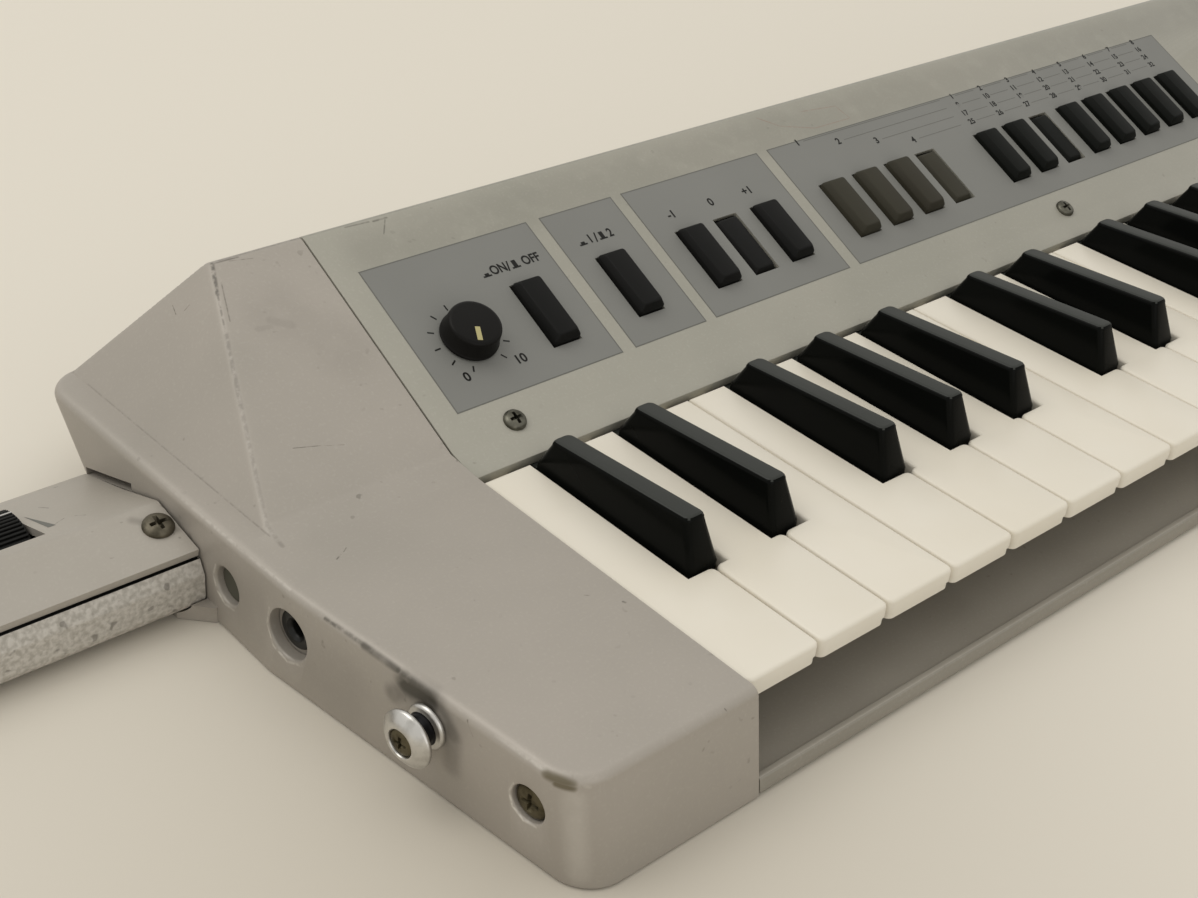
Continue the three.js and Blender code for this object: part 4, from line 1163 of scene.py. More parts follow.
@dataclass
class CapForm:
    """Sizes of an end cap and of the panel's slope, and the places on the cap's side."""

    reach: float = 52.6
    foot_spread: float = 0.9
    flare: float = 3.0
    bend: float = 10.0
    foot_bend: float = 2.0
    taper: float = 8.7
    foot_taper: float = 10.9
    top: float = 23.8
    top_radius: float = 2.0
    front_corner: float = 9.0
    rear_corner: float = 8.7
    front: float = 80.7
    front_lean: float = 4.4
    rear_foot: float = 73.0
    waist_reach: float = 86.5
    waist: float = 21.0
    ridge_reach: float = 66.7
    ridge: float = 51.57
    ridge_radius: float = 2.2
    slope: float = 25.5
    sheet: float = 1.5
    panel_bend: float = 10.3

    def down(self, top: float, foot: float, z: float) -> float:
        """Returns a size that changes evenly from the cap's top to its foot."""
        return top + (foot - top) * (self.top - z) / self.top

    def undercut(self) -> float:
        """Returns how far the rear wall leans back for each millimetre of height."""
        return (self.waist_reach - self.rear_foot) / self.waist

    def front_at(self, z: float) -> float:
        """Returns the front face's Y at a height."""
        return -self.down(self.front, self.front + self.front_lean, z)

    def on_side(self, y: float, z: float) -> Vector:
        """Returns a place on the left side."""
        bend = -self.down(self.bend, self.foot_bend, z)
        reach = self.down(self.reach, self.reach + self.foot_spread, z)
        nose = self.down(self.taper, self.foot_taper, z) * max(0.0, (bend - y) / (bend - self.front_at(z)))
        flare = self.down(self.flare, 0.0, z) * max(0.0, (y - bend) / (self.waist_reach - bend))
        return Vector((-reach + nose - flare, y, z))

    def side_normal(self, y: float, z: float) -> Vector:
        """Returns the outward direction of the left side at a place."""
        here = self.on_side(y, z)
        along = self.on_side(y - 0.5, z) - here
        upward = self.on_side(y, z + 0.5) - here
        return along.cross(upward).normalized()

    def panel_foot(self) -> float:
        """Returns the height where the panel's slope would meet the keys' back line."""
        return self.ridge - tan(radians(self.slope)) * self.ridge_reach

    def ridge_outline(self, steps: int = 10) -> list[Vector]:
        """Returns the outside of the panel in Y and Z, from the bend over the ridge to the waist."""
        slope = radians(self.slope)
        fall = (self.ridge - self.waist) / (self.waist_reach - self.ridge_reach)
        bend = Vector((self.panel_bend, self.panel_foot() + tan(slope) * self.panel_bend))
        apex = Vector((self.ridge_reach, self.ridge))
        apex += Vector((cos(slope), sin(slope))) * (self.ridge_radius / 2)
        back = Vector((self.waist_reach + self.sheet, self.waist - fall * self.sheet))
        return rounded([bend, apex, back], [0.0, self.ridge_radius, 0.0], steps)


FORM = CapForm()


@dataclass(frozen=True)
class SidePlace:
    """A place on the left side, given by its Y and its depth under the keys' top."""

    y: float
    drop: float

    def point(self) -> Vector:
        """Returns the place itself."""
        return FORM.on_side(self.y, KEY_TOP - self.drop)

    def normal(self) -> Vector:
        """Returns the outward direction of the side there."""
        return FORM.side_normal(self.y, KEY_TOP - self.drop)


PLUG_PLACE = SidePlace(12.9, 11.5)
JACK_PLACE = SidePlace(-7.8, 10.4)
STRAP_PLACE = SidePlace(-46.3, 7.6)
SCREW_PLACE = SidePlace(-70.5, 9.9)
JACK_RECESS = 2.9


def on_panel(x: float, up: float, out: float) -> Vector:
    """Returns a place on the control panel.

    Args:
        x: Distance along the keys.
        up: Distance up the slope from the keys' back line.
        out: Distance out of the panel.

    Returns:
        The place in keyboard millimetres.
    """
    slope = radians(FORM.slope)
    y = up * cos(slope) - out * sin(slope)
    return Vector((x, y, FORM.panel_foot() + up * sin(slope) + out * cos(slope)))


PANEL_NORMAL = on_panel(0, 0, 1) - on_panel(0, 0, 0)


def waist_tool(low: float, high: float) -> Solid:
    """Returns the tool that parts the panel and the case at the waist, between two heights."""
    return Solid.box((-2.0, 70.0, low), (KEYBOARD + 2.0, 96.0, high))


@dataclass
class EndCap:
    """The moulded end of the case, with the hump that carries the panel's slope to its end.

    Each hole is given by its radius, its depth and the radius of its rounded edge.
    """

    side: Side
    hump_left: float = -46.3
    hump_left_rear: float = -48.2
    hump_front: float = 8.0
    hump_rear: float = 78.0
    crest: float = -23.0
    hump_round: float = 1.0
    crease: float = 0.12
    toe: float = 1.3
    toe_skew: float = 0.061
    right: float = -0.15
    front_rows: int = 120
    rear_rows: int = 150
    columns_over: int = 76
    corner_steps: int = 28
    edge_columns: tuple[float, ...] = (0.0, 0.04, 0.16, 0.36, 0.65, 1.0, 1.5, 2.1, 2.8, 3.4)
    screw_hole: Triple = (3.9, 3.0, 0.5)
    strap_hole: Triple = (2.2, 8.0, 0.1)
    plug_hole: Triple = (4.1, 2.2, 0.7)
    jack_hole: Triple = (5.5, JACK_RECESS, 0.8)
    jack_room: Triple = (6.9, -14.0, -2.75)
    plug_profile: Pairs = (
        (0, -2.19), (4.05, -2.19), (4.05, -1.9), (3.9, -1.75), (0, -1.75))
    wing_half: float = 4.0
    wing_height: float = 4.0
    wing_tip: Pairs = ((5.6, 4.0), (5.6, 2.0), (0.0, -3.7))

    def ring(self, z: float, shrink: float, ahead: Sequence[float], behind: Sequence[float]) -> list[Vector]:
        """Returns the outline at a height, from the right front corner round the left to the right rear.

        Args:
            z: Height of the outline.
            shrink: How far it is drawn in.
            ahead: Shares of the way from the left end to the right edge on the front side.
            behind: The same shares on the rear side.

        Returns:
            The outline's points, equally many at every height.
        """
        form = FORM
        front = form.front_at(z) + shrink
        rear = form.rear_foot + form.undercut() * min(z, form.waist) - shrink
        bend = -form.down(form.bend, form.foot_bend, z)
        corners = [(self.right, front), (form.on_side(front - shrink, z).x + shrink, front),
                   (form.on_side(bend, z).x + shrink, bend), (form.on_side(rear, z).x + shrink, rear),
                   (self.right, rear)]
        radii = [0.0, max(form.front_corner - shrink, 0.4), 0.0, max(form.rear_corner - shrink, 0.4), 0.0]
        steps = self.corner_steps
        points = rounded(corners, radii, steps)
        front_arc = points[1 : steps + 2]
        bend_point = points[steps + 2]
        rear_arc = points[steps + 3 : 2 * steps + 4]
        lower, upper = self.front_rows, self.rear_rows
        first = [front_arc[-1].lerp(bend_point, i / lower) for i in range(1, lower)]
        second = [bend_point.lerp(rear_arc[0], i / upper) for i in range(upper)]
        start = [Vector((front_arc[0].x + (self.right - front_arc[0].x) * c, front)) for c in ahead]
        stop = [Vector((rear_arc[-1].x + (self.right - rear_arc[-1].x) * c, rear)) for c in behind]
        loop = start[:0:-1] + front_arc + first + second + rear_arc + stop[1:]
        return [Vector((p.x, p.y, z)) for p in loop]

    def columns(self, lefts: np.ndarray) -> np.ndarray:
        """Returns the columns' X for each row, close together over the rounded edge.

        One column follows the hump's foot.

        Args:
            lefts: Left ends of the rows.

        Returns:
            One row of X places for each left end.
        """
        near = np.array(self.edge_columns)
        start = lefts[:, :1]
        skew = (self.hump_left_rear - self.hump_left) * (lefts[:, 1:] - self.hump_front)
        foot = self.hump_left + skew / (self.hump_rear - self.hump_front)
        crease = start + np.clip(foot - start, 4.0, 9.0)
        shares = np.linspace(0.0, 1.0, self.columns_over + 1)[None, :]
        far = crease + (self.right - 0.2 - crease) * shares
        return np.hstack([start + near[None, :], far, np.full_like(start, self.right)])

    def height(self, x: np.ndarray, y: np.ndarray, outline: np.ndarray) -> np.ndarray:
        """Returns the height of the top over each place.

        Args:
            x: X of the places.
            y: Y of the places.
            outline: Points of the outline where the rounding of the edge starts.

        Returns:
            Heights over the table.
        """
        def lower(a: np.ndarray, b: np.ndarray, blend: float) -> np.ndarray:
            share = np.clip(0.5 + 0.5 * (b - a) / blend, 0, 1)
            return b + (a - b) * share - blend * share * (1 - share)

        form = FORM
        start, stop = outline[:-1], outline[1:]
        run = stop - start
        place = np.stack([x, y], -1)[..., None, :]
        share = np.clip(((place - start) * run).sum(-1) / (run * run).sum(-1), 0, 1)
        nearest = start + run * share[..., None]
        distance = np.sqrt(((place - nearest) ** 2).sum(-1)).min(-1)
        inside = np.clip(distance, 0, form.top_radius)
        shoulder = form.top - form.top_radius
        base = shoulder + np.sqrt(form.top_radius**2 - (form.top_radius - inside) ** 2)
        line = form.ridge_outline(24)
        ridge = np.interp(y, [p.x for p in line], [p.y for p in line])
        low = form.panel_foot() + tan(radians(form.slope)) * y
        toe = self.toe - self.toe_skew * x
        gentle = form.top + (y - toe) * (line[0].y - form.top) / (line[0].x - toe)
        ridge = np.where(y < line[0].x, np.maximum(low, gentle), ridge)
        corner = Vector((self.hump_left, self.hump_front, form.top))
        rear = Vector((self.hump_left_rear, self.hump_rear, form.top))
        tip = Vector((self.crest, form.ridge_reach, form.ridge))
        facet = (rear - corner).cross(tip - corner)
        flank = form.top - (facet.x * (x - corner.x) + facet.y * (y - corner.y)) / facet.z
        hump = lower(ridge, flank, self.hump_round)
        return -lower(-base, -hump, self.crease)

    def body(self) -> Solid:
        """Builds the closed outside of the left cap."""
        form = FORM
        shoulder = form.top - form.top_radius
        edge = self.ring(shoulder, 0.0, (0.0, 1.0), (0.0, 1.0))
        outline = np.array([[p.x, p.y] for p in edge])
        lefts = outline[1:-1]
        x = self.columns(lefts)
        width = x.shape[1]
        y = np.repeat(lefts[:, 1:], width, 1)
        ahead, behind = [((row - row[0]) / (row[-1] - row[0])).tolist() for row in (x[0], x[-1])]
        z = np.maximum(self.height(x, y, outline), form.waist)
        z[0] = shoulder
        z[:, 0] = shoulder
        z[-1, :] = np.clip(z[-1, :], form.waist, shoulder)
        z[:, -1] -= 0.25
        rows = len(lefts)
        points = [Vector(p) for p in np.stack([x, y, z], -1).reshape(-1, 3)]
        faces = [(r * width + c, r * width + c + 1, (r + 1) * width + c + 1, (r + 1) * width + c)
                 for r in range(rows - 1) for c in range(width - 1)]
        loop = [c for c in range(width - 1, 0, -1)] + [r * width for r in range(rows)]
        loop += [(rows - 1) * width + c for c in range(1, width)]
        # Height and draw-in of the rings below the top, the last three round the foot
        levels = ((form.waist - 0.3, 0.0), (0.8, 0.0), (0.25, 0.2), (0.0, 0.7))
        for level, shrink in levels:
            first = len(points)
            points += self.ring(level, shrink, ahead, behind)
            fresh = list(range(first, len(points)))
            faces += [(loop[i], loop[i + 1], fresh[i + 1], fresh[i]) for i in range(len(loop) - 1)]
            loop = fresh
        faces.append(tuple(loop))
        ends = [len(points) - 1 - k * len(loop) for k in range(len(levels))]
        starts = [len(points) - len(loop) * (k + 1) for k in range(len(levels))]
        column = [r * width + width - 1 for r in range(rows)]
        faces.append(tuple(column + ends[::-1] + starts))
        return Solid.from_faces(points, faces)

    def hole(self, place: SidePlace, radius: float, depth: float, rim: float) -> Solid:
        """Returns the tool for a round hole in the side, with a rounded edge."""
        turns = [radians(a) for a in (0, 18, 36, 54, 72)]
        profile = [(0, -depth), (radius, -depth)]
        profile += [(radius + rim - rim * cos(a), rim * sin(a) - rim) for a in turns]
        profile += [(radius + rim * 1.2 + 1.2, 0.45), (0, 0.45)]
        return Solid.lathe(profile, place.point(), place.normal())

    def plug(self) -> None:
        """Fills the blind hole's floor."""
        disc = Solid.lathe(self.plug_profile, PLUG_PLACE.point(), PLUG_PLACE.normal(), 40)
        disc.dress(INK.plug).settle("side_hole_plug", ROOT, "silver_shell")

    def gusset(self) -> Solid:
        """Returns the small wing that cradles the neck's root in front."""
        neck = Neck()
        root = neck.root()
        front = neck.front - neck.belly
        outline = [(-FORM.reach, front - self.wing_half), (-FORM.reach, front + self.wing_half)]
        outline += [(-root - out, front + up) for out, up in self.wing_tip]
        wing = Solid.prism([Vector(p) for p in outline[::-1]], 0.0, self.wing_height, 0.5)
        return wing.cut(neck.grip_block(SEAM, -root - 12.0, -FORM.reach - SEAM))

    def build(self) -> None:
        """Makes the cap with its holes."""
        cap = self.body()
        tools = [self.hole(SCREW_PLACE, *self.screw_hole), self.hole(STRAP_PLACE, *self.strap_hole)]
        if self.side is Side.LEFT:
            neck = Neck()
            cap.fuse(self.gusset())
            tools += [self.hole(PLUG_PLACE, *self.plug_hole), self.hole(JACK_PLACE, *self.jack_hole),
                      Solid.pin(*self.jack_room, JACK_PLACE.point(), JACK_PLACE.normal()),
                      neck.slot_tool(), neck.tongue(SEAM)]
        cap.cut(*tools)
        if self.side is Side.LEFT:
            self.plug()
        else:
            cap.mirrored()
        cap.dress(INK.cap).settle(f"{self.side.value}_cap_moulding", ROOT, "silver_shell",
                                  [f"{self.side.value}_end_cap"], 32.0)


# Control panel


@dataclass
class ControlPanel:
    """The sloping sheet with its print, buttons and knob.

    The three ink heights are how far the prints stand out of the sheet.
    """

    front_reach: float = 2.3
    front_drop: float = 0.4
    front_lip: float = 2.1
    bend_sag: float = 1.3
    tool_out: Pair = (-4.0, 2.0)
    row_up: float = 36.2
    button_width: float = 7.8
    button_length: float = 18.4
    rise: float = 2.8
    pressed_drop: float = 2.2
    body: float = 6.0
    shoulders: Pairs = (
        (1.8, 0.0), (1.55, 0.08), (0.25, 0.85), (0.06, 1.0), (0.0, 1.25))
    stem_half: float = 2.0
    stem_length: float = 2.2
    strip_half: float = 4.0
    strip_height: float = 1.4
    pitch: float = 13.33
    voice_x: float = 215.9
    knob_x: float = 21.5
    knob_up: float = 36.5
    knob_hole: float = 3.3
    knob_profile: Pairs = (
        (0, -6.1), (3.0, -6.1), (3.0, 0.5), (7.0, 0.5), (7.0, 1.0), (6.75, 1.3), (6.35, 4.7), (6.2, 5.1),
        (5.85, 5.42), (5.3, 5.5), (0, 5.5))
    index_angle: float = -113.0
    index_reach: Pair = (1.3, 5.0)
    index_half: float = 0.6
    index_out: Pair = (5.3, 5.58)
    ticks: int = 11
    tick_radius: float = 8.9
    tick_start: float = -117.0
    tick_turn: float = -30.0
    field_ink: float = 0.03
    line_ink: float = 0.045
    mark_ink: float = 0.07
    line_half: float = 0.11
    line_gap: float = 2.4
    frame_line: float = 0.3
    bank_line_end: float = 211.0
    field_low: float = 19.6
    field_high: float = 61.0
    fields: Pairs = ((7.0, 55.3), (59.2, 82.4), (85.7, 134.6), (138.4, 322.0))
    voice_rows: tuple[float, ...] = (60.3, 57.0, 53.6, 50.2)
    bank_numbers: tuple[float, ...] = (150.0, 163.7, 176.7, 189.5)

    def groups(self) -> dict[str, tuple[list[float], int, Finish, str]]:
        """Returns the buttons' places, the pressed one, finish and slot by node name."""
        def row(first: float, count: int) -> list[float]:
            return [first + index * self.pitch for index in range(count)]

        dark, coal = INK.charcoal, "button_charcoal"
        octave = row(96.5, 3)
        return {
            "glide_switch_button": ([43.6], -1, dark, coal),
            "mode_switch_button": ([70.0], -1, dark, coal),
            "octave_down_button": (octave[:1], -1, dark, coal),
            "octave_normal_button": (octave[1:2], 0, dark, coal),
            "octave_up_button": (octave[2:], -1, dark, coal),
            "bank_buttons": (row(149.6, 4), 3, INK.olive, "button_olive"),
            "voice_buttons": (row(self.voice_x, 8), 2, INK.slate, coal),
        }

    def block(self, x: Pair, up: Pair, out: Pair) -> Solid:
        """Returns a block that lies in the panel's slope."""
        return Solid.hull([on_panel(*corner) for corner in product(x, up, out)])

    def sheet(self) -> None:
        """Makes the folded sheet with its slots."""
        form = FORM
        front = Vector((self.front_reach, KEY_TOP - self.front_drop))
        bend = form.ridge_outline()[0]
        middle = Vector(((self.front_reach + form.panel_bend) / 2,
                         (front.y + bend.y) / 2 - form.sheet / 2 + self.bend_sag / 2))
        lip = Vector((self.front_reach, front.y - self.front_lip))
        curve = [front.lerp(middle, t).lerp(middle.lerp(bend, t), t) for t in (0.0, 0.2, 0.4, 0.6, 0.8)]
        line = [lip] + curve + form.ridge_outline(12)
        section = folded(line, -form.sheet)
        panel = Solid.along_x(section, SEAM / 2, KEYBOARD - SEAM / 2)
        half, reach = self.button_width / 2 + SEAM, self.button_length / 2 + SEAM
        span = (self.row_up - reach, self.row_up + reach)
        tools = [self.block((x - half, x + half), span, self.tool_out)
                 for places, _, _, _ in self.groups().values() for x in places]
        knob_place = on_panel(self.knob_x, self.knob_up, 0)
        tools.append(Solid.pin(self.knob_hole, *self.tool_out, knob_place, PANEL_NORMAL, 32))
        panel.cut(*tools, waist_tool(8.0, form.waist + SEAM)).bevel(0.22, 2, 50.0)
        panel.dress(INK.panel).settle("panel_sheet", ROOT, "silver_sheet", ["top_panel"], 32.0)

    def cap(self, x: float, pressed: bool) -> Solid:
        """Returns one button cap with its sloping shoulders."""
        top = self.rise - self.pressed_drop if pressed else self.rise
        half, reach = self.button_width / 2, self.button_length / 2
        rings = []
        for depth, shrink in ((self.body, 0.0), *self.shoulders):
            corners = rectangle(-half + shrink, half - shrink, -reach + shrink, reach - shrink)
            ring = rounded(corners, [0.7] * 4, 3)
            rings.append([on_panel(x + p.x, self.row_up + p.y, top - depth) for p in ring])
        made = Solid.loft(rings)
        if not pressed:
            foot, stem = top - self.body, self.stem_half
            made.gather(self.block((x - stem, x + stem), (self.row_up - stem, self.row_up + stem),
                                   (foot - self.stem_length, foot + 0.1)))
        return made

    def buttons(self) -> None:
        """Makes every button body, its rows by a node tree."""
        row = row_pattern()
        for node, (places, pressed, finish, slot) in self.groups().items():
            if len(places) == 1:
                made = self.cap(places[0], pressed == 0).dress(finish)
            else:
                step = {"Step": (self.pitch, 0.0, 0.0)}
                made = self.cap(places[pressed], True).dress(finish)
                for first, count in ((0, pressed), (pressed + 1, len(places) - pressed - 1)):
                    if count > 0:
                        made.gather(row.run(self.cap(places[first], False), finish, {**step, "Count": count}))
                bottom = self.rise - self.pressed_drop - self.body
                strip = self.block((places[0], places[-1]),
                                   (self.row_up - self.strip_half, self.row_up + self.strip_half),
                                   (bottom, bottom + self.strip_height))
                made.gather(strip.dress(finish))
            made.settle(f"{node}_caps", node, slot, [node])

    def knob(self) -> None:
        """Makes the knob and its index line."""
        place = on_panel(self.knob_x, self.knob_up, 0)
        knob = Solid.lathe(self.knob_profile, place, PANEL_NORMAL, 72).dress(INK.knob)
        turn = Matrix.Rotation(radians(self.index_angle), 2)
        corners = [turn @ Vector(p) for p in rectangle(*self.index_reach, -self.index_half, self.index_half)]
        bar = Solid.hull([on_panel(self.knob_x + p.x, self.knob_up + p.y, out) for p in corners
                          for out in self.index_out])
        knob.gather(bar.dress(INK.cream))
        knob.settle("glide_time_knob_body", "glide_time_knob", "knob_black", ["glide_time_knob"])

    def flat(self, corners: Sequence[Pair], out: float) -> Solid:
        """Returns a thin printed area on the panel, given by its places along X and up the slope."""
        low = [on_panel(x, up, out - 0.02) for x, up in corners]
        high = [on_panel(x, up, out) for x, up in corners]
        return Solid.loft([low, high])

    def area(self, x: Pair, up: Pair, out: float) -> Solid:
        """Returns a printed rectangle."""
        return self.flat(rectangle(*x, *up), out)

    def fields_print(self) -> None:
        """Prints the grey fields, left open where the buttons come through."""
        half, reach = self.button_width / 2 + SEAM, self.button_length / 2 + SEAM
        low, high = self.row_up - reach, self.row_up + reach
        places = [x for group, _, _, _ in self.groups().values() for x in group]
        made: list[Solid] = []
        for left, right in self.fields:
            made += [self.area((left, right), (self.field_low, low), self.field_ink),
                     self.area((left, right), (high, self.field_high), self.field_ink)]
            edges = [left]
            for x in places:
                if left < x < right:
                    edges += [x - half, x + half]
            edges.append(right)
            made += [self.area(gap, (low, high), self.field_ink) for gap in zip(edges[::2], edges[1::2])]
        made[0].gather(*made[1:]).dress(INK.field_ink)
        made[0].settle("panel_print_fields", ROOT, "silver_sheet")

    def stamp(self, text: str, x: float, up: float, size: float, squeeze: float = 1.0) -> Solid:
        """Prints plain characters on the panel, centred on a place and narrowed by a share."""
        curve = bpy.data.curves.new("stamp", "FONT")
        curve.body = text
        curve.size = size
        curve.align_x = "CENTER"
        curve.align_y = "CENTER"
        curve.extrude = 0.01
        curve.offset = size * 0.026
        carrier = stand("stamp", curve)
        mesh = evaluated(carrier)
        bpy.data.objects.remove(carrier)
        bpy.data.curves.remove(curve)
        slope = Matrix.Rotation(radians(FORM.slope), 4, "X") @ Matrix.Scale(squeeze, 4, (1, 0, 0))
        return Solid("stamp", mesh).place(Matrix.Translation(on_panel(x, up, 0.06)) @ slope)

    def switch_label(self, words: tuple[str, str], x: float, up: float) -> list[Solid]:
        """Prints a push switch's two states, each behind a small picture of the button in or out."""
        made = []
        for word, rise in zip(words, (0.6, 1.9)):
            made += [self.area((x, x + 2.4), (up - 1.2, up - 0.75), self.mark_ink),
                     self.area((x + 0.6, x + 1.8), (up - 0.85, up - 0.75 + rise), self.mark_ink)]
            width = 2.15 * len(word)
            made.append(self.stamp(word, x + 2.8 + width / 2, up, 3.5, 0.84))
            x += 2.9 + width
            if rise < 1.0:
                slash = [(x, up - 1.4), (x + 0.4, up - 1.4), (x + 1.2, up + 1.4), (x + 0.8, up + 1.4)]
                made.append(self.flat(slash, self.mark_ink))
                x += 1.4
        return made

    def marks(self) -> None:
        """Prints the numbers, and the dial's ticks by a node tree."""
        turn = Matrix.Rotation(radians(FORM.slope), 4, "X")
        tick = Solid.box((-0.8, -0.2, 0.035), (0.8, 0.2, 0.055))
        values = {"Count": self.ticks, "Radius": self.tick_radius,
                  "Start": radians(self.tick_start), "Turn": radians(self.tick_turn)}
        made = arc_pattern().run(tick, INK.ink, values)
        made.place(Matrix.Translation(on_panel(self.knob_x, self.knob_up, 0)) @ turn)
        prints = [self.stamp("0", 14.8, 27.2, 3.3), self.stamp("10", 29.8, 27.0, 3.3)]
        prints += self.switch_label(("ON", "OFF"), 35.0, 50.9) + self.switch_label(("1", "2"), 64.6, 51.2)
        prints += [self.stamp(text, x, 50.8, 3.3) for text, x in (("-1", 95.3), ("0", 109.2), ("+1", 122.4))]
        for index, (x, up) in enumerate(zip(self.bank_numbers, self.voice_rows)):
            prints.append(self.stamp(str(index + 1), x, up, 3.0))
        for column in range(8):
            for index, up in enumerate(self.voice_rows):
                x = 216.6 + column * self.pitch - 0.2 * index
                prints.append(self.stamp(str(index * 8 + column + 1), x, up, 2.6))
        made.gather(*prints)
        made.dress(INK.ink).settle("panel_print_marks", ROOT, "silver_sheet")
        self.lines()

    def lines(self) -> None:
        """Prints the outlines of the fields and the fine lines between the numbers."""
        lines = []
        low, high, wide = self.field_low, self.field_high, self.frame_line
        for left, right in self.fields:
            upright = (low + wide, high - wide)
            for x, up in (((left, right), (low, low + wide)), ((left, right), (high - wide, high)),
                          ((left, left + wide), upright), ((right - wide, right), upright)):
                lines.append(self.area(x, up, self.line_ink))
        for x, up in zip(self.bank_numbers, self.voice_rows):
            span = (up - self.line_half, up + self.line_half)
            lines.append(self.area((x + self.line_gap, self.bank_line_end), span, self.line_ink))
            for column in range(7):
                start = self.voice_x + column * self.pitch + self.line_gap
                stop = start + self.pitch - 2 * self.line_gap
                lines.append(self.area((start, stop), span, self.line_ink))
        lines[0].gather(*lines[1:]).dress(INK.line_ink).settle("panel_print_lines", ROOT, "silver_sheet")

    def build(self) -> None:
        """Makes the whole panel."""
        self.sheet()
        self.buttons()
        self.knob()
        self.fields_print()
        self.marks()


# Lower case


@dataclass
class LowerCase:
    """The folded floor with its front lip, the battery cover and what lies inside."""

    wall: float = 2.0
    lip: float = 4.2
    hatch_middle: float = 264.0
    hatch_length: float = 118.0
    hatch_front: float = 4.0
    hatch_width: float = 58.0
    hatch_height: float = 0.9
    ledge: float = 3.3
    groove_half: float = 14.0
    groove_side: float = 0.7
    groove_depth: float = 0.35
    groove_step: float = 2.6
    grooves: int = 6

    def hatch(self, grow: float, low: float, high: float) -> Solid:
        """Returns the cover's block, grown all round."""
        half = self.hatch_length / 2 + grow
        left, right = self.hatch_middle - half, self.hatch_middle + half
        front, rear = self.hatch_front - grow, self.hatch_front + self.hatch_width + grow
        outline = rounded(rectangle(left, right, front, rear), [4.0] * 4, 6)
        return Solid.prism(outline, low, high)

    def build(self) -> None:
        """Makes the case and its cover, and dresses the bed and the board inside."""
        form = FORM
        lean = form.front_lean * (form.top - self.lip) / form.top
        corners = [(-form.front - lean, self.lip), (-form.front - form.front_lean, 0.0),
                   (form.rear_foot, 0.0),
                   (form.waist_reach + form.undercut() * self.wall, form.waist + self.wall)]
        skin = folded([Vector(c) for c in corners], self.wall)
        section = rounded(skin, [0.6, 1.2, 1.2, 0, 0, 0.4, 0.4, 0.6], 5)
        case = Solid.along_x(section, SEAM / 2, KEYBOARD - SEAM / 2)
        above = waist_tool(form.waist, form.waist + 8.0)
        rebate = self.hatch(SEAM, -1.0, self.hatch_height + SEAM)
        case.cut(above, rebate, self.hatch(-self.ledge, -1.0, 4.0))

        # Up-facing faces above the underside, such as the floor inside and the lip's top, get the lighter
        # copy of the lacquer: painted light
        def finish(centre: Vector, normal: Vector) -> int:
            return int(centre.z > 1.0 and normal.z > 0.9)

        case.dress(INK.case, INK.case_painted_light, pick=finish)
        case.settle("lower_case_sheet", ROOT, "silver_shell", ["bottom_case"], 32.0)
        cover = self.hatch(0.0, 0.0, self.hatch_height).bevel(0.3, 2, 50.0).dress(INK.case)
        plan = rectangle(-self.groove_half, self.groove_half, -self.groove_side, self.groove_side)
        groove = Solid.prism(rounded(plan, [0.65] * 4, 3), -0.01, self.groove_depth)
        groove.place(Matrix.Translation((self.hatch_middle, self.hatch_front + 8.0, 0)))
        values = {"Count": self.grooves, "Step": (0.0, self.groove_step, 0.0)}
        cover.cut(row_pattern().run(groove, INK.case, values))
        cover.dress(INK.case).settle("battery_cover_plate", ROOT, "silver_shell", ["battery_cover"])
        for node, finish in (("key_bed", INK.bed), ("circuit_board", INK.board)):
            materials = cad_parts[node].data.materials
            materials.clear()
            materials.append(finish.material())


# Neck


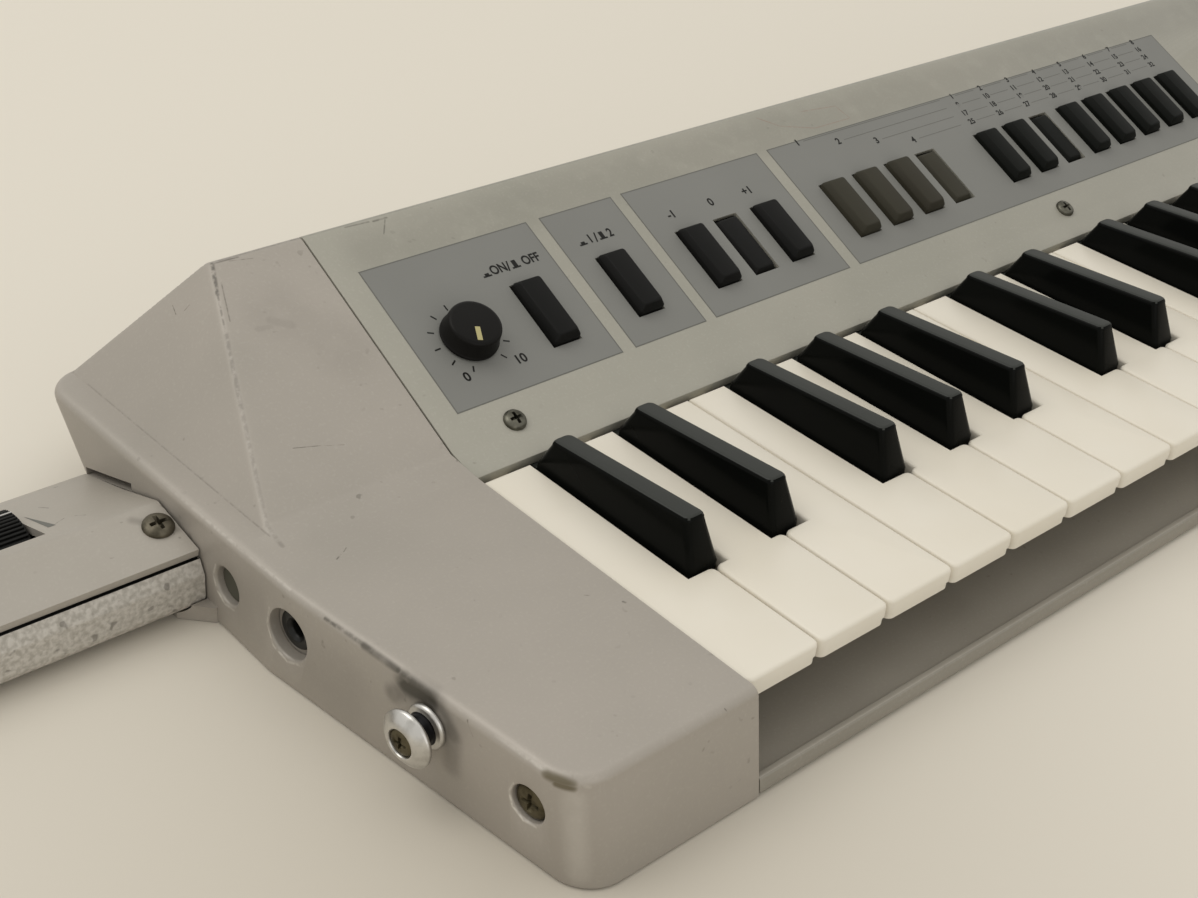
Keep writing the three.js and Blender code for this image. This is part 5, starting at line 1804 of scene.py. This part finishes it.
@dataclass
class Neck:
    """The left-hand neck: cover, textured grip, thumb wheels and ribbon."""

    length: float = 309.5
    front: float = 22.2
    front_drop: float = 7.7
    fold: float = 37.3
    fold_drop: float = 4.3
    shoulder: float = 70.0
    shoulder_drop: float = 15.8
    rear: float = 72.2
    rear_drop: float = 18.0
    depth: float = 21.5
    wall: float = 1.8
    belly: float = 1.5
    belly_drop: float = 3.0
    end_taper: float = 9.0
    wheels: Pair = (-86.3, -128.0)
    wheel_width: float = 18.0
    wheel_radius: float = 10.2
    wheel_y: float = 52.95
    wheel_z: float = 5.04
    wheel_sweep: float = 126.0
    wheel_hidden: float = 30.0
    rib_height: float = 0.55
    ribs: int = 27
    rib_outline: Pairs = ((-0.3, -0.38), (0.55, -0.26), (0.55, 0.26), (-0.3, 0.38))
    rib_margin: float = 0.03
    axle_radius: float = 1.4
    axle_reach: float = 3.0
    mark_turn: float = 0.12
    mark_half: float = 0.42
    window_gap: float = 0.4
    window: Pair = (41.4, 65.5)
    slot: Pair = (49.0, 69.8)
    slot_rise: float = 1.7
    tongue_span: Pair = (30.0, 58.0)
    tongue_length: float = 14.0
    tongue_height: float = 5.0
    ribbon_span: Pair = (-338.0, -168.0)
    ribbon_half: float = 6.0
    ribbon_height: float = 0.8
    wedge: Pairs = ((1.9, 55.8), (2.0, 44.6), (3.6, 44.4))

    def root(self) -> float:
        """Returns how far left the neck's root lies."""
        return FORM.reach + FORM.foot_spread + SEAM

    def fall(self) -> float:
        """Returns how far the top falls to the rear for each millimetre."""
        return (self.shoulder_drop - self.fold_drop) / (self.shoulder - self.fold)

    def rise(self) -> float:
        """Returns how far the narrow front face rises to the rear for each millimetre."""
        return (self.front_drop - self.fold_drop) / (self.fold - self.front)

    def top(self, y: float) -> float:
        """Returns the height of the neck's top."""
        return KEY_TOP - self.fold_drop - self.fall() * (y - self.fold)

    def grip_block(self, grow: float, start: float, stop: float) -> Solid:
        """Returns the grip's outside as a block, grown all round."""
        bottom = KEY_TOP - self.depth - grow
        front = self.front - SEAM - grow
        rear = self.rear - self.wall + grow
        top = KEY_TOP - self.front_drop - self.wall - SEAM
        corners = [(front, top), (front - self.belly, top - self.belly_drop), (front - self.belly, bottom),
                   (rear, bottom), (rear, KEY_TOP - self.rear_drop - self.wall)]
        outline = rounded(corners, [0.0, 1.5, 3.8, 1.4, 0.0], 6)
        return Solid.along_x(outline, start, stop)

    def slot_tool(self) -> Solid:
        """Returns the tool for the slot over the rear half of the neck."""
        plan = rectangle(*self.slot, -SEAM, self.slot_rise)
        section = [Vector((y, self.top(y) + rise)) for y, rise in plan]
        return Solid.along_x(section, -self.root() - 6.0, -FORM.reach + 16.0)

    def tongue(self, grow: float) -> Solid:
        """Returns the tongue that reaches into the cap, grown all round."""
        floor = KEY_TOP - self.depth + self.wall
        front, rear = self.tongue_span
        low = (-self.root() - self.wall - grow, front - grow, floor - grow)
        high = (-self.root() + self.tongue_length + grow, rear + grow, floor + self.tongue_height + grow)
        return Solid.box(low, high)

    def side_tool(self) -> Solid:
        """Returns everything to the right of the cap's side, with a seam."""
        points = []
        for z in (-2.0, KEY_TOP + 2.0):
            for y in (self.front - 3.0, self.rear + 2.0):
                points.append(Vector((FORM.on_side(y, z).x - SEAM, y, z)))
                points.append(Vector((0.0, y, z)))
        return Solid.hull(points)

    def end_tool(self) -> Solid:
        """Returns the tool for the slanted far end."""
        end = -self.root() - self.length
        front = self.front - 3.5
        outline = [(end - 2, front), (end + self.end_taper, front), (end, self.fold), (end - 2, self.fold)]
        return Solid.prism([Vector(p) for p in outline], -2.0, KEY_TOP)

    def cover(self) -> None:
        """Makes the cover with its two windows."""
        corners = [(self.front, KEY_TOP - self.front_drop), (self.fold, KEY_TOP - self.fold_drop),
                   (self.shoulder, KEY_TOP - self.shoulder_drop), (self.rear, KEY_TOP - self.rear_drop)]
        line = rounded(corners, [0.0, 2.0, 2.6, 0.0], 6)
        made = Solid.along_x(folded(line, -self.wall), -self.root() - self.length, -FORM.reach + SEAM)
        tools = [self.side_tool(), self.end_tool()]
        for x in self.wheels:
            half = self.wheel_width / 2 + self.window_gap
            front, rear = self.window
            tools.append(Solid.box((x - half, front, self.wheel_z), (x + half, rear, KEY_TOP)))
        made.cut(*tools).bevel(0.3, 2, 50.0)
        made.dress(INK.neck, INK.rubbery, pick=lambda _, normal: int(normal.z < -0.5))
        made.settle("neck_cover_shell", ROOT, "silver_shell", ["neck_cover"], 32.0)

    def grip(self) -> None:
        """Makes the spatter-coated grip with its trough."""
        far = -self.root() - self.length
        bottom = KEY_TOP - self.depth
        made = self.grip_block(0.0, far, -FORM.reach + SEAM)
        trough = Solid.box((far + self.end_taper + self.wall, self.front + self.wall, bottom + self.wall),
                           (-self.root() - self.wall, self.rear - 2 * self.wall, KEY_TOP))
        made.cut(trough, self.side_tool(), self.end_tool()).bevel(0.35, 2, 55.0)
        floor = bottom + self.wall
        made.gather(self.tongue(0.0))
        wall = Vector((self.front + self.wall / 2, self.rear - 1.5 * self.wall))

        def finish(centre: Vector, _: Vector) -> int:
            return int(wall.x < centre.y < wall.y and centre.z > floor - 0.1)

        made.dress(INK.grip, INK.rubbery, pick=finish)
        made.settle("neck_grip_shell", ROOT, "silver_spatter", ["neck_grip"], 32.0)

    def wheel(self, node: str, x: float) -> None:
        """Makes one ribbed thumb wheel, its ribs by a node tree."""
        middle = atan2(1.0, self.fall())
        sweep, tail = radians(self.wheel_sweep), radians(self.wheel_hidden)
        radius = self.wheel_radius - self.rib_height
        steps = 40
        angles = [middle - sweep / 2 + (sweep + tail) * s / steps for s in range(steps + 1)]
        arc = [(radius * cos(a), radius * sin(a)) for a in angles]
        outline = [Vector((0, 0))] + [Vector(p) for p in arc]
        half = self.wheel_width / 2
        made = Solid.prism(outline, -half, half, 0.35, Edge.BOTH)
        reach = half + self.axle_reach
        made.gather(Solid.pin(self.axle_radius, -reach, reach, Vector((0, 0, 0)), Vector((0, 0, 1)), 24))
        made.dress(INK.rubbery)
        rib = Solid.prism(rounded(self.rib_outline, [0, 0.2, 0.2, 0], 3), -half + 0.5, half - 0.5)
        values = {"Count": self.ribs, "Radius": radius, "Start": middle - sweep / 2 + self.rib_margin,
                  "Turn": (sweep + tail - 2 * self.rib_margin) / (self.ribs - 1)}
        made.gather(arc_pattern().run(rib, INK.rubbery, values))
        low = (radius - 0.1, -self.mark_half, -half + 0.4)
        bar = Solid.box(low, (radius + 0.5, self.mark_half, half - 0.4)).dress(INK.chrome)
        bar.place(Matrix.Rotation(middle + self.mark_turn, 4, "Z"))
        made.gather(bar)
        turn = Matrix(((0, 0, 1, x), (1, 0, 0, self.wheel_y), (0, 1, 0, self.wheel_z), (0, 0, 0, 1)))
        made.place(turn).settle(f"{node}_ribbed", node, "black_moulding", [node])

    def ribbon(self) -> None:
        """Makes the ribbon on the far part of the neck."""
        y = (self.fold + self.rear) / 2
        plan = rectangle(*self.ribbon_span, -self.ribbon_half, self.ribbon_half)
        strip = Solid.prism(rounded(plan, [1.5] * 4, 5), 0.0, self.ribbon_height, 0.3)
        turn = Matrix.Rotation(-atan(self.fall()), 4, "X")
        strip.place(Matrix.Translation((0, y, self.top(y) + SEAM)) @ turn).dress(INK.ribbon)
        strip.settle("pitch_ribbon_strip", ROOT, "black_moulding", ["pitch_ribbon"])

    def marks(self) -> None:
        """Prints the wedges beside the wheels."""
        lift = 0.05
        made = []
        for x in self.wheels:
            right = x + self.wheel_width / 2 + self.window_gap
            wedge = [(right + away, y) for away, y in self.wedge]
            low = [Vector((a, b, self.top(b) + lift - 0.02)) for a, b in wedge]
            high = [Vector((a, b, self.top(b) + lift)) for a, b in wedge]
            made.append(Solid.loft([low, high]))
        made[0].gather(*made[1:])
        made[0].dress(INK.line_ink).settle("neck_print_marks", ROOT, "silver_shell")

    def build(self) -> None:
        """Makes the whole neck."""
        self.cover()
        self.grip()
        self.wheel("volume_wheel", self.wheels[0])
        self.wheel("modulation_wheel", self.wheels[1])
        self.ribbon()
        self.marks()


# Small metal parts


@dataclass
class Hardware:
    """Strap buttons, side jack and the cross-head screws.

    Each screw head is given by its radius and the height of its dome.
    """

    panel_screws: Pairs = ((18.4, 13.3), (221.5, 13.3), (421.6, 13.3))
    panel_head: Pair = (2.7, 1.4)
    cap_head: Pair = (3.6, 1.0)
    cap_head_depth: float = 1.5
    neck_screw: Pair = (-57.9, 31.0)
    neck_head: Pair = (3.3, 1.5)
    strap_head: Pair = (2.7, 0.75)
    strap_head_out: float = 6.0
    strap_profile: Pairs = (
        (0, -7), (1.8, -7), (1.8, 0), (4.6, 0), (4.6, 0.4), (4.4, 0.75), (4.0, 0.95), (3.4, 1.1), (3.1, 1.4),
        (3.1, 3.4), (3.4, 3.8), (5.3, 4.1), (5.7, 4.3), (5.9, 4.6), (5.9, 5.0), (5.7, 5.3), (4.3, 6.3),
        (3.6, 6.75), (3.3, 6.8), (3.0, 6.7), (2.8, 6.3), (2.8, 5.7), (0, 5.7))
    jack_profile: Pairs = (
        (0, -10), (6.6, -10), (6.6, -0.05), (4.45, -0.05), (4.4, 0.2), (4.2, 0.5), (3.9, 0.6), (2.6, 0.6),
        (2.2, 0.2), (1.9, -0.1), (1.8, -0.5), (1.8, -9), (0, -9))
    jack_ring: float = 4.42

    def screw_head(self, radius: float, dome: float) -> Solid:
        """Returns one pan head with its cross recess, on the floor of its own frame."""
        profile = [(0, -0.6), (radius, -0.6), (radius, dome * 0.3), (radius * 0.93, dome * 0.62),
                   (radius * 0.72, dome * 0.88), (radius * 0.4, dome), (0, dome)]
        head = Solid.lathe(profile, Vector((0, 0, 0)), Vector((0, 0, 1)), 32)
        wide, narrow = radius * 0.62, radius * 0.15
        arms = []
        for a, b in ((wide, narrow), (narrow, wide)):
            top = [Vector((s * a, t * b, dome + 0.1)) for s in (-1, 1) for t in (-1, 1)]
            foot = [Vector((s * a * 0.55, t * b * 0.55, dome * 0.15)) for s in (-1, 1) for t in (-1, 1)]
            arms.append(Solid.hull(top + foot))
        return head.cut(*arms)

    def screws(self, name: str, places: Sequence[tuple[Vector, Vector]], head: Pair,
               finish: Finish, slot: str) -> None:
        """Sets equal screws on their places with a node tree.

        Args:
            name: The piece's name.
            places: A place and an outward direction for each screw.
            head: The head's radius and the height of its dome.
            finish: The screws' finish.
            slot: The material slot that they follow.
        """
        mesh = bpy.data.meshes.new(name)
        mesh.from_pydata([tuple(place) for place, _ in places], [], [])
        lean = mesh.attributes.new("lean", "FLOAT_VECTOR", "POINT")
        for item, (_, normal) in zip(lean.data, places):
            item.vector = normal.to_track_quat("Z", "Y").to_euler()
        made = scatter_pattern().run(self.screw_head(*head), finish, places=mesh)
        made.settle(name, ROOT, slot)

    def strap_button(self, side: Side) -> None:
        """Makes one turned strap button."""
        normal = STRAP_PLACE.normal()
        place = STRAP_PLACE.point() + normal * SEAM

        def finish(centre: Vector, _: Vector) -> int:
            away = centre - place
            return int(away.cross(normal).length < 3.9 and 1.2 < away.dot(normal) < 4.0)

        made = Solid.lathe(self.strap_profile, place, normal, 64)
        made.dress(INK.chrome, INK.chrome_dark, pick=finish)
        head = self.screw_head(*self.strap_head)
        turn = normal.to_track_quat("Z", "Y").to_matrix().to_4x4()
        head.place(Matrix.Translation(place + normal * self.strap_head_out) @ turn)
        made.gather(head.dress(INK.screw))
        if side is Side.RIGHT:
            made.mirrored()
        made.settle(f"strap_button_{side.value}_turned", ROOT, "chrome", [f"strap_button_{side.value}"])

    def jack(self) -> None:
        """Makes the jack with its ring."""
        normal = JACK_PLACE.normal()
        place = JACK_PLACE.point() - normal * JACK_RECESS

        def finish(centre: Vector, _: Vector) -> int:
            return int((centre - place).cross(normal).length < self.jack_ring)

        body = Solid.lathe(self.jack_profile, place, normal, 48)
        body.dress(INK.cap, INK.jack, pick=finish)
        body.settle("side_jack_body", ROOT, "black_moulding", ["side_jack"])

    def build(self) -> None:
        """Makes all small metal parts."""
        self.strap_button(Side.LEFT)
        self.strap_button(Side.RIGHT)
        self.jack()
        places = [(on_panel(x, up, 0.0), PANEL_NORMAL.copy()) for x, up in self.panel_screws]
        self.screws("panel_screws", places, self.panel_head, INK.panel_screw, "silver_sheet")
        normal = SCREW_PLACE.normal()
        place = SCREW_PLACE.point() - normal * self.cap_head_depth
        other = Vector((-normal.x, normal.y, normal.z))
        across = Vector((KEYBOARD - place.x, place.y, place.z))
        ends = [(place, normal), (across, other)]
        self.screws("cap_screws", ends, self.cap_head, INK.screw, "silver_shell")
        neck = Neck()
        x, y = self.neck_screw
        height = KEY_TOP - neck.front_drop + neck.rise() * (y - neck.front)
        up = Vector((0, -neck.rise(), 1)).normalized()
        self.screws("neck_screw", [(Vector((x, y, height)), up)], self.neck_head, INK.neck_screw,
                    "silver_shell")


def main() -> None:
    """Builds the studio and the instrument."""
    logging.basicConfig(level=logging.INFO, format="%(message)s")
    Studio().build()
    Keyboard().build()
    EndCap(Side.LEFT).build()
    EndCap(Side.RIGHT).build()
    ControlPanel().build()
    LowerCase().build()
    Neck().build()
    Hardware().build()


if __name__ == "__main__":
    main()
